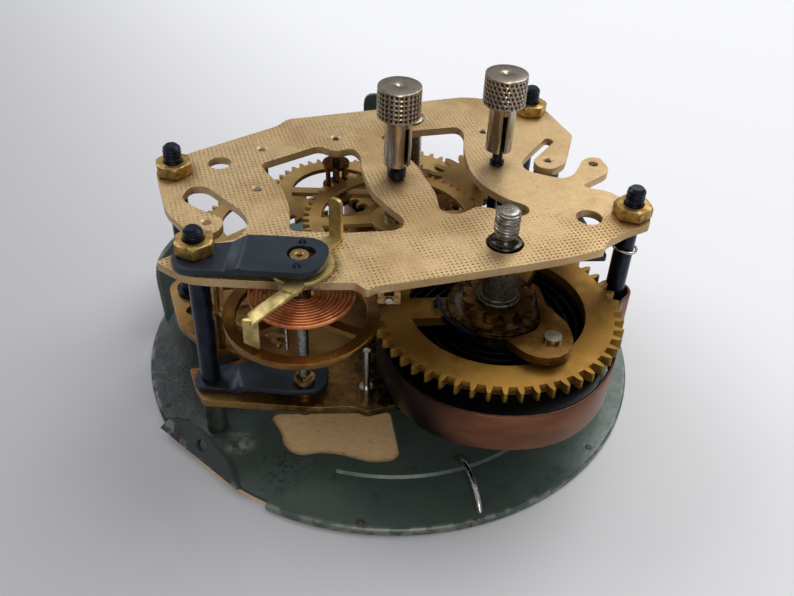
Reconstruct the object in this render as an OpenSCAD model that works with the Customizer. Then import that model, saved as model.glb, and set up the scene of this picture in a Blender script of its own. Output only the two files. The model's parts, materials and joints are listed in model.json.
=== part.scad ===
/* [Dial] */
// Outside diameter of the steel dial disc
dial_d = 64; // [63:0.5:66]
// Sheet thickness of the dial disc
dial_sheet = 0.6; // [0.5:0.05:0.8]
// Width of the rolled rim of the dial disc
rim_w = 0.7; // [0.5:0.1:1]
// Thickness of the card face under the dial disc
card_t = 0.5; // [0.4:0.05:0.6]
// Diameter of the hole in the middle of disc and card
dial_hole_d = 3.8; // [3.6:0.1:5]
// Height of the leaning tab at the left of the disc
left_tab_h = 9; // [6:0.5:11]
// Height of the upright tab at the rear of the disc
rear_tab_h = 21.2; // [16:0.2:23]
// Width of the upright tab at the rear of the disc
rear_tab_w = 7.6; // [5:0.2:10]
// Depth of the pressed groove
groove_depth = 0.3; // [0.2:0.05:0.4]
// Inner radius of the pressed groove
groove_r = 24.2; // [23.5:0.1:25]
// Wire thickness of the bent pin on the disc
wire_pin_d = 0.7; // [0.5:0.05:0.9]

/* [Frame] */
// Height of the front plate above the disc
foot_h = 6.4; // [6.2:0.1:8]
// Thickness of the two brass plates
plate_t = 1; // [0.8:0.05:1.2]
// Distance between the two plates
plate_gap = 17.2; // [17.2:0.1:18]
// Diameter of the pillars
pillar_d = 2.3; // [2.2:0.1:3]
// Diameter of the foot collar of a pillar
collar_d = 3.4; // [3.2:0.1:4]
// Diameter of the threaded ends of the pillars
stud_d = 2; // [1.8:0.1:2.2]
// Diameter of the lower ends of the pillars, in the front plate and the foot posts
tenon_d = 1.5; // [1.3:0.1:1.7]
// Height of a stud above the back plate
stud_h = 3.6; // [3:0.1:4.5]
// Width of the pillar nuts across their flats
nut_af = 3.9; // [3.6:0.1:4.2]
// Height of the pillar nuts
nut_h = 1.5; // [1.2:0.1:1.8]
// Diameter of the foot posts under the front plate
foot_d = 2.6; // [2.4:0.1:3]

/* [Arbors] */
// Diameter of the plain arbors
arbor_d = 1.2; // [1:0.05:1.4]
// Diameter of the pivots in the plates
pivot_d = 0.7; // [0.5:0.05:0.8]
// Diameter of the arbor that carries the hands
hand_arbor_d = 1.2; // [1:0.05:1.3]
// Outside diameter of the pipe of the centre pinion
centre_pipe_d = 2.6; // [2.4:0.1:2.8]
// Diameter of the alarm-setting arbor
set_arbor_d = 1.3; // [1.1:0.05:1.5]
// Diameter of the sleeve on the two winding arbors
sleeve_d = 3.8; // [3.6:0.1:4]
// Diameter of the threaded end of the two winding arbors
winder_d = 2.9; // [2.6:0.1:3.1]
// Length of the threaded end of the two winding arbors
winder_len = 2.9; // [2.4:0.1:4]

/* [Going train] */
// Teeth of the great wheel
great_teeth = 52; // [51:1:53]
// Leaves of the centre pinion
centre_leaves = 12; // [12:1:13]
// Teeth of the centre wheel
centre_teeth = 54; // [53:1:55]
// Teeth of the third wheel
third_teeth = 40; // [39:1:41]
// Teeth of the fourth wheel
fourth_teeth = 40; // [39:1:41]
// Leaves of the fourth pinion and of the escape pinion
small_leaves = 6; // [6:1:7]
// Teeth of the escape wheel
escape_teeth = 15; // [15:1:16]
// Module of the great wheel and the centre pinion
great_module = 0.548; // [0.54:0.002:0.556]
// Module of the centre wheel and the lantern pinion
centre_module = 0.404; // [0.398:0.002:0.408]
// Module of the third wheel and the fourth pinion
third_module = 0.417; // [0.411:0.002:0.421]
// Module of the fourth wheel and the escape pinion
fourth_module = 0.406; // [0.4:0.002:0.41]
// Thickness of the great wheel
great_t = 1.2; // [1:0.05:1.3]
// Thickness of the other wheels of the going train
wheel_t = 0.6; // [0.5:0.05:0.7]
// Teeth of the two ratchet wheels
ratchet_teeth = 12; // [12:1:12]

/* [Mainsprings] */
// Thickness of the two mainsprings
spring_t = 0.45; // [0.35:0.05:0.5]
// Width of the time mainspring
time_spring_w = 5; // [4.4:0.1:5.2]
// Width of the alarm mainspring
alarm_spring_w = 5.2; // [4.4:0.1:5.4]
// Turns of the time mainspring
time_spring_turns = 10; // [8:1:10]
// Turns of the alarm mainspring
alarm_spring_turns = 5; // [4:1:5]

/* [Escapement] */
// Outside diameter of the balance wheel
balance_d = 17; // [16.4:0.1:17.2]
// Width of the balance rim
balance_rim_w = 1.4; // [1.1:0.1:1.7]
// Thickness of the balance rim
balance_t = 0.8; // [0.6:0.05:0.9]
// Diameter of the balance staff
staff_d = 1.3; // [1.1:0.05:1.5]
// Distance of the impulse pin from the balance staff
impulse_r = 2.4; // [2.2:0.05:2.6]
// Radius of the outer turn of the hairspring
hairspring_r = 6; // [5.6:0.1:6.1]
// Turns of the hairspring
hairspring_turns = 7; // [5:1:7]
// Thickness of the hairspring
hairspring_t = 0.16; // [0.12:0.01:0.18]
// Outer radius of the escape wheel
escape_r = 5.6; // [5.3:0.1:5.7]
// Diameter of the two pins of the pallet lever
pallet_pin_d = 0.5; // [0.4:0.05:0.6]

/* [Alarm work] */
// Teeth of the alarm great wheel
alarm_teeth = 36; // [35:1:37]
// Leaves of the alarm pinion
alarm_leaves = 6; // [6:1:7]
// Module of the alarm great wheel
alarm_module = 0.483; // [0.477:0.002:0.489]
// Teeth of the alarm escape wheel
alarm_escape_teeth = 18; // [17:1:19]
// Outer radius of the alarm escape wheel
alarm_escape_r = 6.8; // [6.5:0.1:6.9]
// Thickness of the hammer strip
hammer_t = 0.8; // [0.6:0.05:1]

/* [Motion work] */
// Module of the cannon pinion and the minute wheel
minute_module = 0.3; // [0.29:0.005:0.31]
// Teeth of the alarm-setting wheel
alarm_set_teeth = 60; // [58:1:61]
// Thickness of the wheels of the motion work
motion_t = 0.5; // [0.4:0.05:0.6]

/* [Knobs and bridges] */
// Diameter of the knurled knob heads
knob_d = 5.1; // [4.6:0.1:5.6]
// Height of the knurled knob heads
knob_h = 3.8; // [3.2:0.1:4.4]
// Diameter of the knob tubes
knob_tube_d = 3.2; // [2.8:0.1:3.4]
// Length of the knob tubes below the heads
knob_tube_h = 6; // [5:0.1:6.2]
// Width of the slot in a knob tube
knob_slot = 0.6; // [0.4:0.05:0.8]
// Thickness of the two balance bridges
bridge_t = 0.8; // [0.6:0.05:0.9]
// Thickness of the regulator
regulator_t = 0.45; // [0.35:0.05:0.5]
// Height of the upright tab of the regulator
regulator_tab_h = 5.2; // [4:0.1:6]

/* [Hidden] */
$fn = 48;
// clearances
fit = 0.04;
loose = 0.1;
shake = 0.1;
eps = 0.01;

function polar(r, a) = [r * cos(a), r * sin(a)];
function unit(v) = v / norm(v);

// heights
panel_z = card_t + dial_sheet;
front_z = panel_z + foot_h;
front_top = front_z + plate_t;
back_z = front_top + plate_gap;
back_top = back_z + plate_t;
stud_top = back_top + stud_h;
knob_z = back_top + 2.1;
knob_top = knob_z + knob_tube_h + knob_h;
great_z = front_top + 8.2;
great_top = great_z + great_t;
boss_h = 0.35;
ratchet_t = 1;
ratchet_z = great_top + boss_h + 0.05;
click_t = 1.1;
rivet_h = 0.55;
centre_z = front_top + 11.9;
third_z = front_top + 9.7;
fourth_z = front_top + 6.7;
escape_z = front_top + 4.4;
escape_t = 0.5;
lever_z = front_top + 5.7;
lever_t = 0.6;
balance_z = front_top + 11.3;
hairspring_w = 0.5;
hairspring_z = front_top + 14.3;
time_spring_z = front_top + 2.3;
alarm_spring_z = front_top + 1.3;
alarm_great_z = front_top + 7.8;
alarm_ratchet_z = alarm_great_z + wheel_t + 0.2;
alarm_escape_z = front_top + 10.3;
verge_z = alarm_escape_z + wheel_t + 0.4;
hammer_z = back_z - 3.1;

// arbor centres and the directions of the lines between them
centre_p = [0, 0];
great_line = -45.9;
great_p = centre_p + polar(great_module * (great_teeth + centre_leaves) / 2, great_line);
lantern_trundles = 6;
centre_line = 131.3;
third_p = centre_p + polar(centre_module * (centre_teeth + lantern_trundles) / 2, centre_line);
third_line = 202;
fourth_p = third_p + polar(third_module * (third_teeth + small_leaves) / 2, third_line);
fourth_line = -85.1;
escape_p = fourth_p + polar(fourth_module * (fourth_teeth + small_leaves) / 2, fourth_line);
lever_a = 238.35;
lever_dist = 8.58;
lever_p = escape_p + polar(lever_dist, lever_a);
balance_a = -33.7;
balance_dist = 13.34;
balance_p = lever_p + polar(balance_dist, balance_a);
alarm_p = [1.2, 15.3];
alarm_escape_a = -14.9;
alarm_escape_p = alarm_p
    + polar(alarm_module * (alarm_teeth + alarm_leaves) / 2, alarm_escape_a);
verge_a = -41;
verge_dist = 10.35;
verge_p = alarm_escape_p + polar(verge_dist, verge_a);
set_p = [12.3, 4.5];

// pillars and feet
pillar_left_front_p = [-20.5, -17.6];
pillar_left_rear_p = [-26.4, -0.9];
pillar_right_rear_p = [17.6, 18.9];
pillar_right_p = [27.2, -5.8];
pillar_ps = [pillar_left_front_p, pillar_left_rear_p, pillar_right_rear_p, pillar_right_p];
pivot_ps = [third_p, fourth_p, escape_p, lever_p, alarm_escape_p, verge_p];

// winding arbors
winder_top = back_top + 1.4 + winder_len;

// cuts every corner [x, y, c] of an outline back by c and rounds it with a curve
corner_steps = 4;
function corner(a, b, c) =
    b[2] == 0 ? [[b[0], b[1]]] :
    let (p = [b[0], b[1]],
         back = [a[0], a[1]] - p,
         ahead = [c[0], c[1]] - p,
         cut = min(b[2], 0.48 * norm(back), 0.48 * norm(ahead)),
         u = p + cut * unit(back),
         v = p + cut * unit(ahead))
    [for (i = [0:corner_steps]) let (t = i / corner_steps)
        (1 - t) * (1 - t) * u + 2 * t * (1 - t) * p + t * t * v];
function rounded(o) = let (n = len(o))
    [for (i = [0:n - 1]) each corner(o[(i + n - 1) % n], o[i], o[(i + 1) % n])];

module slab(outline, z, t) {
    translate([0, 0, z]) linear_extrude(t) polygon(rounded(outline));
}

module drill(p, d, z0, z1) {
    translate([p[0], p[1], z0]) cylinder(d = d, h = z1 - z0);
}

module rod(p, d, z0, z1) {
    translate([p[0], p[1], z0]) cylinder(d = d, h = z1 - z0);
}

// toothed outline: shares are the part of the pitch that a tooth fills
function teeth(n, root_r, tip_r, root_share, tip_share, start) =
    let (h = 180 / n, knee_r = root_r + 0.6 * (tip_r - root_r),
         knee_share = root_share + 0.35 * (tip_share - root_share))
    [for (i = [0:n - 1]) let (c = start + 2 * h * i) each [
        polar(root_r, c - h * root_share), polar(knee_r, c - h * knee_share),
        polar(tip_r, c - h * tip_share), polar(tip_r, c + h * tip_share),
        polar(knee_r, c + h * knee_share), polar(root_r, c + h * root_share)]];

// angle of a pinion's leaf when a wheel tooth stands at wheel_start
function mesh_start(line_a, wheel_start, wheel_n, pinion_n) =
    line_a + 180 + 180 / pinion_n - (wheel_start - line_a) * wheel_n / pinion_n;

// windows between spokes, cut out of a wheel
module windows(hub_r, rim_r, spokes, spoke_w, start, z, t) {
    difference() {
        translate([0, 0, z - eps]) cylinder(r = rim_r, h = t + 2 * eps);
        translate([0, 0, z - 2 * eps]) cylinder(r = hub_r, h = t + 4 * eps);
        for (i = [0:spokes - 1]) rotate([0, 0, start + i * 360 / spokes])
            translate([0, -spoke_w / 2, z - 2 * eps]) cube([rim_r + 1, spoke_w, t + 4 * eps]);
    }
}

module wheel(p, outline, z, t, bore_d, hub_r, rim_r, spokes, spoke_w, start) {
    translate([p[0], p[1], 0]) difference() {
        translate([0, 0, z]) linear_extrude(t) polygon(outline);
        translate([0, 0, z - 1]) cylinder(d = bore_d, h = t + 2);
        windows(hub_r, rim_r, spokes, spoke_w, start, z, t);
    }
}

// arbor between the plates with its two pivots
module arbor(p, d) {
    rod(p, d, front_top + shake, back_z - shake);
    rod(p, pivot_d, front_z + shake, back_top - shake);
}

// ribbon of a given thickness along a flat path
function along(path, i) = unit(path[min(i + 1, len(path) - 1)] - path[max(i - 1, 0)]);
function side(path, i, d) = let (u = along(path, i)) path[i] + d * [-u[1], u[0]];
function ribbon(path, t) = concat(
    [for (i = [0:len(path) - 1]) side(path, i, t / 2)],
    [for (i = [len(path) - 1:-1:0]) side(path, i, -t / 2)]);

// least distance between points of a path that lie more than half a turn apart
function least_gap(path, skip, t) = min([for (i = [0:len(path) - 1 - skip])
    for (j = [i + skip:len(path) - 1]) norm(path[i] - path[j])]) - t;

function ease(x) = let (t = min(1, max(0, x))) t * t * (3 - 2 * t);

// points between a and d on the curve that b and c pull
function curve(a, b, c, d, n) = [for (i = [1:n - 1]) let (t = i / n, u = 1 - t)
    u * u * u * a + 3 * u * u * t * b + 3 * u * t * t * c + t * t * t * d];

// time mainspring: winds anticlockwise outwards, its outer turn bulges to the front and runs
// out to the right pillar, where its end is bent round
loop_steps = 24;
spring_hook_r = sleeve_d / 2 + 0.5 + spring_t / 2;
time_tight_r = 13;
time_bulge = 1.7;
time_end_a = 6;
time_turn_r = function (s) let (left = time_spring_turns - s) spring_hook_r
    + (time_tight_r - spring_hook_r) * s / (time_spring_turns - 1)
    + time_bulge * ease((0.475 - left) / 0.153) * ease((left - 0.05) / 0.172);
time_coil = [for (i = [0:time_spring_turns * loop_steps - 1]) let (s = i / loop_steps)
    great_p + polar(time_turn_r(s), time_end_a + 360 * (s - time_spring_turns))];
eye_r = pillar_d / 2 + 0.45 + spring_t / 2;
time_eye = [for (a = [-45:22.5:190]) pillar_right_p + polar(eye_r, a)];
time_spring_path = concat(time_coil,
    curve(time_coil[len(time_coil) - 1], pillar_right_p + [-0.9, -5.7],
        pillar_right_p + [-0.3, -2.8], time_eye[0], 8),
    time_eye);

// alarm mainspring: winds clockwise outwards and ends round the right rear pillar
alarm_outer_r = 8.8;
alarm_end_a = 76;
alarm_spring_path = concat(
    [for (i = [0:alarm_spring_turns * loop_steps]) let (s = i / loop_steps)
        alarm_p + polar(
            spring_hook_r + (alarm_outer_r - spring_hook_r) * s / alarm_spring_turns,
            alarm_end_a - 360 * (s - alarm_spring_turns))],
    [for (a = [78:-22.5:-124]) pillar_right_rear_p + polar(eye_r, a)]);

// hairspring: winds out from the collet to the stud
stud_a = 31.5;
stud_pin_r = 7;
collet_r = 1.1;
hairspring_path = concat(
    [for (i = [0:hairspring_turns * loop_steps]) let (s = i / loop_steps)
        balance_p + polar(collet_r + 0.15
            + (hairspring_r - collet_r - 0.15) * s / hairspring_turns,
            stud_a - 20 + 360 * (s - hairspring_turns))],
    [balance_p + polar(hairspring_r + 0.25, stud_a - 10),
     balance_p + polar(hairspring_r + 0.5, stud_a - 3)]);

echo(time_spring_gap = least_gap(time_spring_path, loop_steps / 2, spring_t));
echo(alarm_spring_gap = least_gap(alarm_spring_path, loop_steps / 2, spring_t));
echo(hairspring_gap = least_gap(hairspring_path, loop_steps / 2, hairspring_t));

// outlines as seen from above, each corner [x, y, rounding]
back_outline = [
    [-28.6, -0.5, 0.6], [-25.8, 3.4, 0.8], [-15.8, 11.6, 0.8], [-14.7, 13.6, 0.5],
    [-2.8, 17.6, 1], [3.4, 20.7, 2], [8.7, 22.4, 0.8], [10.6, 22.3, 0.8],
    [19.4, 20.7, 0.3], [22.7, 12.6, 0.3], [20.9, 5.2, 1.2], [19.2, 3.6, 1.2],
    [17.4, 4, 0.9], [16.9, 5.6, 0.7], [17.7, 6.9, 0.7], [20.2, 10.9, 0.6],
    [19.2, 11.7, 0.5], [16.1, 6.6, 0.8], [15.4, 4.8, 0.8], [15.8, 3.1, 0.8],
    [17.9, 2.2, 0.8], [20.2, 1.5, 1], [21.6, 2.5, 1], [22.5, 4.5, 0.8],
    [23.1, 6.2, 0.8], [24.2, 7.1, 0.6], [25.5, 7, 0.5], [26.2, 4.5, 0.6],
    [25.8, 3.3, 0.6], [22.4, 0.2, 0.4], [23.1, -0.4, 0.3], [25.3, -0.9, 0.6],
    [29.5, -5.3, 0.6], [29, -7.6, 0.4], [26.2, -9.3, 0.8], [23.5, -11.6, 0.5],
    [23, -13, 0.3], [19, -14.8, 1], [14.4, -16.4, 1], [-1.5, -21.4, 0.5],
    [-2.3, -22.1, 0.4], [-3.6, -20.9, 0.5], [-10, -21.4, 1], [-18.2, -21.4, 1],
    [-20.9, -21.2, 1.2], [-24.4, -18.9, 0.3], [-20.8, -15.4, 0.4], [-18.6, -14.9, 0.6],
    [-16.8, -14.2, 0.8], [-16, -12, 1], [-16.2, -10.3, 0.8], [-17.3, -8.5, 1],
    [-20.1, -5.8, 1], [-22.1, -3.8, 1], [-23.9, -4, 0.9], [-24.4, -6.2, 0.9],
    [-23.9, -7.2, 0.5], [-22.2, -8.5, 0.8], [-19.2, -10.2, 0.6], [-18.7, -11.2, 0.6],
    [-19, -12.8, 0.6], [-20.2, -13.7, 0.8], [-22.8, -12.6, 0.8], [-24.9, -10.2, 0.8],
    [-25.8, -8.8, 0.8], [-28.4, -1.6, 0.5]];
left_opening = [
    [-16.5, 1.9, 0.7], [-10, 6.9, 0.8], [-7.7, 5.6, 1], [-5.7, 6.8, 0.8],
    [-4.6, 5.1, 0.8], [-4.3, 2.1, 0.8], [-2.9, -3.2, 1.5], [-0.5, -6.7, 1.2],
    [1.2, -8.9, 0.6], [1.1, -10.3, 0.6], [0.2, -11.2, 0.6], [-5.3, -12.1, 1],
    [-11.4, -12.2, 1], [-11.8, -7.7, 2], [-13.5, -2.8, 2], [-15.8, 0.2, 1]];
right_opening = [
    [-2.4, 10, 0.5], [2.4, 12.2, 1.5], [7.7, 13.6, 0.8], [8.5, 11.9, 0.8],
    [8.3, 6.9, 2], [9, 1.9, 2], [10.5, -1, 1.2], [12.8, -3.5, 1], [15.4, -5, 0.6],
    [15.5, -6.3, 0.5], [14.6, -7.2, 0.6], [12.2, -6.3, 0.5], [11.2, -5.8, 0.5],
    [9.4, -5.5, 0.7], [7.8, -7.1, 0.7], [6.3, -7.5, 0.7], [5.1, -6.5, 0.7],
    [4.8, -3.3, 1.2], [3.2, 0.9, 1.5], [2.4, 3.4, 1.5]];
front_outline = [
    [-29.7, 0.5, 1.5], [-25.8, 4.6, 1], [-15.8, 12, 1], [-14.7, 13.8, 0.5],
    [-2.8, 17.8, 1], [8.7, 22.4, 1], [19.4, 21.2, 0.8], [22.7, 12.6, 1],
    [25.6, 4, 2], [29.7, -5, 1], [29, -8.2, 0.8], [23.2, -13.4, 1],
    [14.4, -16.4, 1], [3.8, -19.2, 1], [0.5, -20.2, 0.8], [-2.1, -21.2, 0.4],
    [-3.6, -20.5, 0.5], [-7.7, -21, 1], [-21, -20.6, 0.5], [-22.3, -18.4, 0.4],
    [-23.5, -15.5, 0.3], [-20, -14.8, 0.8], [-17.2, -13.2, 0.8], [-18.2, -12.3, 0.5],
    [-19.6, -11.7, 0.5], [-20.9, -12.4, 0.5], [-23.1, -10.9, 0.5], [-26.6, -7.5, 1]];
disc_cutout = [
    [-14.3, -15.8, 0.5], [-13.7, -14.7, 0.4], [0.5, -13.6, 0.6], [1.9, -20.9, 0.8],
    [1.2, -22, 0.6], [-1.4, -22.4, 0.8], [-5.2, -21.4, 0.8], [-7.6, -21.2, 0.8],
    [-9.5, -21.8, 0.8], [-10.9, -21.5, 0.6], [-12.1, -20.3, 0.8], [-12.6, -18.3, 0.8]];

steel_dark = "#23262b";
steel_bright = "#9a9a94";
brass = "#c9ae78";
brass_dark = "#b8862f";

// flap folded in from the rim, seen along the fold
flap_start = polar(dial_d / 2 - 0.18, 217.34);
flap_a = -39.8;
flap_tilt = 65;
flap_outline = [[-2.2, 0, 0], [-1.1, 2.2, 0.8], [2.2, 3.3, 0.8], [5.9, 3.2, 0.8],
    [8.9, 2.2, 1], [11.9, 0.3, 0.2], [11.9, 0, 0]];

module dial_disc() {
    rim_r = dial_d / 2;
    tab_a = 163;
    tab_w = 14.4;
    lean = 0.6;
    rear_y = sqrt(pow(rim_r, 2) - pow(rear_tab_w / 2 + 1.8, 2));
    color("#4a5a52") union() {
        difference() {
            rotate_extrude($fn = 96) polygon([
                [dial_hole_d / 2, card_t], [rim_r - rim_w, card_t], [rim_r - rim_w, 0],
                [rim_r - 0.2, 0], [rim_r, 0.2], [rim_r, panel_z - 0.2],
                [rim_r - 0.2, panel_z], [dial_hole_d / 2, panel_z]]);
            slab(disc_cutout, 0, panel_z + 1);
            rotate_extrude(angle = 84, start = 257, $fn = 96) polygon([
                [groove_r, panel_z + eps], [groove_r + 0.3, panel_z - groove_depth],
                [groove_r + 0.9, panel_z - groove_depth], [groove_r + 2, panel_z + eps]]);
            rotate_extrude(angle = 34, start = 212, $fn = 96) polygon([
                [rim_r - rim_w, -1], [rim_r + 1, -1], [rim_r + 1, panel_z + 1],
                [rim_r - rim_w, panel_z + 1]]);
        }
        intersection() {
            rotate_extrude(angle = 40, start = tab_a - 20, $fn = 96) polygon([
                [rim_r - lean - dial_sheet, panel_z - 0.2], [rim_r - lean, panel_z - 0.2],
                [rim_r, panel_z + left_tab_h], [rim_r - dial_sheet, panel_z + left_tab_h]]);
            rotate([0, 0, tab_a]) translate([rim_r - 5, 0, 0]) rotate([90, 0, 90])
                linear_extrude(8) polygon(rounded([
                    [-tab_w / 2, 0.5, 0], [tab_w / 2, 0.5, 0],
                    [tab_w / 2, panel_z + left_tab_h, 3], [-tab_w / 2, panel_z + left_tab_h, 3]]));
        }
        translate([-rear_tab_w / 2 - 1.8, rear_y, 0])
            rotate([90, 0, 0]) linear_extrude(dial_sheet) polygon(rounded([
                [0, panel_z - eps, 0], [rear_tab_w, panel_z - eps, 0],
                [rear_tab_w, panel_z + rear_tab_h, 1.6], [0, panel_z + rear_tab_h, 1.6]]));
        translate([flap_start[0], flap_start[1], panel_z - 0.3]) rotate([0, 0, flap_a])
            rotate([flap_tilt, 0, 0]) difference() {
                linear_extrude(dial_sheet) polygon(rounded(flap_outline));
                translate([4.9, 1.7, -1]) cylinder(d = 1.6, h = 3);
            }
    }
}

module dial_card() {
    color("#b8946c") difference() {
        rod([0, 0], dial_d - 2 * rim_w - loose, 0, card_t);
        drill([0, 0], dial_hole_d, -1, card_t + 1);
    }
}

module wire_pin() {
    foot_p = polar(dial_d / 2 - 1.32, -68.79);
    tip_p = foot_p + [-2.3, 7.5];
    half = norm(foot_p - tip_p) / 2;
    rise = 1.8;
    bend_r = (half * half + rise * rise) / (2 * rise);
    mid = (foot_p + tip_p) / 2;
    line = tip_p - foot_p;
    reach = asin(half / bend_r) + 6;
    color("silver") intersection() {
        translate([mid[0], mid[1], panel_z + rise - bend_r])
            rotate([0, 0, atan2(line[1], line[0])]) rotate([90, 0, 0])
            rotate_extrude(angle = 2 * reach, start = 90 - reach)
            translate([bend_r, 0]) circle(d = wire_pin_d, $fn = 24);
        translate([mid[0] - 8, mid[1] - 8, panel_z]) cube([16, 16, 8]);
    }
}

module foot_posts() {
    color("#8a9088") for (p = pillar_ps) difference() {
        rod(p, foot_d, panel_z, front_z);
        drill(p, tenon_d + 2 * fit, front_z - 4.3, front_z + 1);
    }
}

module front_plate() {
    color(brass) difference() {
        slab(front_outline, front_z, plate_t);
        for (p = pillar_ps) drill(p, tenon_d + 2 * fit, front_z - 1, front_top + 1);
        for (p = pivot_ps) drill(p, pivot_d + 2 * fit, front_z - 1, front_top + 1);
        for (p = [great_p, alarm_p]) drill(p, 2.2 + 2 * fit, front_z - 1, front_top + 1);
        drill(centre_p, hand_arbor_d + 2 * fit, front_z - 1, front_top + 1);
        drill(set_p, set_arbor_d + 2 * fit, front_z - 1, front_top + 1);
        drill(balance_p, screw_d + 2 * fit, front_z - 1, front_top + 1);
        drill([-25.2, -4.6], 2, front_z - 1, front_top + 1);
    }
}

module back_plate() {
    color(brass) difference() {
        slab(back_outline, back_z, plate_t);
        slab(left_opening, back_z - 1, plate_t + 2);
        slab(right_opening, back_z - 1, plate_t + 2);
        for (p = pillar_ps) drill(p, stud_d + 2 * fit, back_z - 1, back_top + 1);
        for (p = pivot_ps) {
            drill(p, pivot_d + 2 * fit, back_z - 1, back_top + 1);
            translate([p[0], p[1], back_top - 0.35])
                cylinder(d1 = pivot_d, d2 = 2 * pivot_d, h = 0.36);
        }
        for (p = [great_p, alarm_p])
            drill(p, sleeve_d + 0.3 + 2 * fit, back_z - 1, back_top + 1);
        drill(centre_p, hand_arbor_d + 2 * fit, back_z - 1, back_top + 1);
        drill(set_p, set_arbor_d + 2 * fit, back_z - 1, back_top + 1);
        drill(balance_p, upper_bush_d + fit, back_z - 1, back_top + 1);
        drill([-21.5, 1.6], 2.8, back_z - 1, back_top + 1);
        drill([22.2, -6.8], 3, back_z - 1, back_top + 1);
        drill([24.4, 5.4], 1.2, back_z - 1, back_top + 1);
    }
}

// pillar: lower thread in the foot post, collar, body and upper stud
module pillar(p) {
    rod(p, tenon_d, front_z - 4, front_top);
    rod(p, collar_d, front_top, front_top + 0.8);
    rod(p, pillar_d, front_top + 0.8, back_z);
    rod(p, stud_d, back_z, stud_top - 0.3);
    translate([p[0], p[1], stud_top - 0.3]) cylinder(d1 = stud_d, d2 = stud_d - 0.6, h = 0.3);
}

module pillars() {
    color(steel_dark) {
        difference() {
            pillar(pillar_left_front_p);
            difference() {
                drill(pillar_left_front_p, collar_d + 1, front_top - eps, front_top + bridge_t);
                drill(pillar_left_front_p, tenon_d, front_z, back_z);
            }
        }
        pillar(pillar_left_rear_p);
        pillar(pillar_right_rear_p);
        pillar(pillar_right_p);
    }
}

module nut(p, z, turn) {
    translate([p[0], p[1], z]) rotate([0, 0, turn]) difference() {
        cylinder(d = nut_af / cos(30), h = nut_h, $fn = 6);
        translate([0, 0, -1]) cylinder(d = stud_d + 2 * fit, h = nut_h + 2);
    }
}

module pillar_nuts() {
    color(brass_dark) {
        nut(pillar_left_front_p, back_top + bridge_t, 8);
        nut(pillar_left_rear_p, back_top, 20);
        nut(pillar_right_rear_p, back_top, 35);
        nut(pillar_right_p, back_top, 12);
    }
}

module pillar_ring() {
    wire = 0.35;
    color("silver") translate([pillar_right_p[0], pillar_right_p[1], back_z - 3.4])
        rotate([0, 10, 0]) rotate_extrude()
        translate([pillar_d / 2 + 0.15 + wire / 2, 0]) circle(d = wire, $fn = 16);
}

// strip that steps up from level z0 to level z1 between x0 and x1
module stepped(outline, z0, z1, x0, x1, t) {
    difference() {
        slab(outline, z0, z1 - z0 + t);
        rotate([90, 0, 0]) linear_extrude(30) polygon([
            [x0, z0 - 1], [x0, z0], [x1, z1], [10, z1], [10, z0 - 1]]);
        rotate([90, 0, 0]) linear_extrude(30) polygon([
            [-40, z0 + t], [x0 - 0.3, z0 + t], [x1 - 0.3, z1 + t], [x1 - 0.3, z1 + t + 1],
            [-40, z1 + t + 1]]);
    }
}

lower_rise = 0.9;
screw_d = 2.2;
module lower_bridge() {
    color(steel_dark) difference() {
        stepped([[-22.4, -18.4, 1.2], [-22.2, -16, 1.2], [-19, -15.2, 1], [-13, -15.2, 1],
            [-9, -14.8, 1.2], [-6.9, -15.6, 1.4], [-6.8, -18.6, 1.2], [-7.9, -19.9, 1.2],
            [-10.4, -20.2, 1], [-14, -20, 1], [-17, -19.7, 1], [-19, -19.4, 1],
            [-21.6, -19.3, 1]],
            front_top, front_top + lower_rise, -17.4, -15.9, bridge_t);
        drill(pillar_left_front_p, tenon_d + 2 * fit, front_top - 1, front_top + 3);
        drill(balance_p, screw_d + 2 * fit, front_top - 1, front_top + 3);
    }
}

screw_top = front_top + lower_rise + bridge_t + 0.7;
module lower_balance_screw() {
    color(brass_dark) difference() {
        union() {
            rod(balance_p, screw_d, front_z - 1.8, screw_top);
            rod(balance_p, screw_d + 0.3, screw_top - 0.4, screw_top);
        }
        translate([balance_p[0], balance_p[1], screw_top - 0.7])
            cylinder(d1 = 0.3, d2 = 1.9, h = 0.71);
        translate([balance_p[0] - 3, balance_p[1] - 0.25, front_z - 1.9]) cube([6, 0.5, 0.7]);
    }
}

upper_rise = 0.9;
upper_z = back_top + upper_rise;
upper_bush_d = 2;
rivet_d = 0.7;
rivet_ps = [balance_p + [0.1, 1.95], balance_p + [0, -2.3]];
module upper_bridge() {
    color(steel_dark) difference() {
        stepped([[-22.6, -19.9, 1.4], [-22.6, -17.4, 1.3], [-20.6, -16.4, 1], [-18.6, -16.2, 1],
            [-16.2, -15.7, 0.8], [-14, -15.6, 1], [-8, -15.7, 1.2], [-6.5, -17, 1.2],
            [-6.5, -19.6, 1.4], [-8.1, -22, 1.4], [-14.8, -21.9, 0.8], [-16.4, -21.1, 0.8],
            [-21.4, -21.1, 1.2]],
            back_top, upper_z, -16.6, -14.9, bridge_t);
        drill(pillar_left_front_p, stud_d + 2 * fit, back_top - 1, back_top + 3);
        drill(balance_p, 2.6, back_top - 1, upper_z + 2);
        drill(balance_p + [0.75, 0.25], 1.9, back_top - 1, upper_z + 2);
        for (p = rivet_ps) drill(p, rivet_d + 2 * fit, back_top - 1, upper_z + 2);
    }
}

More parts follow.
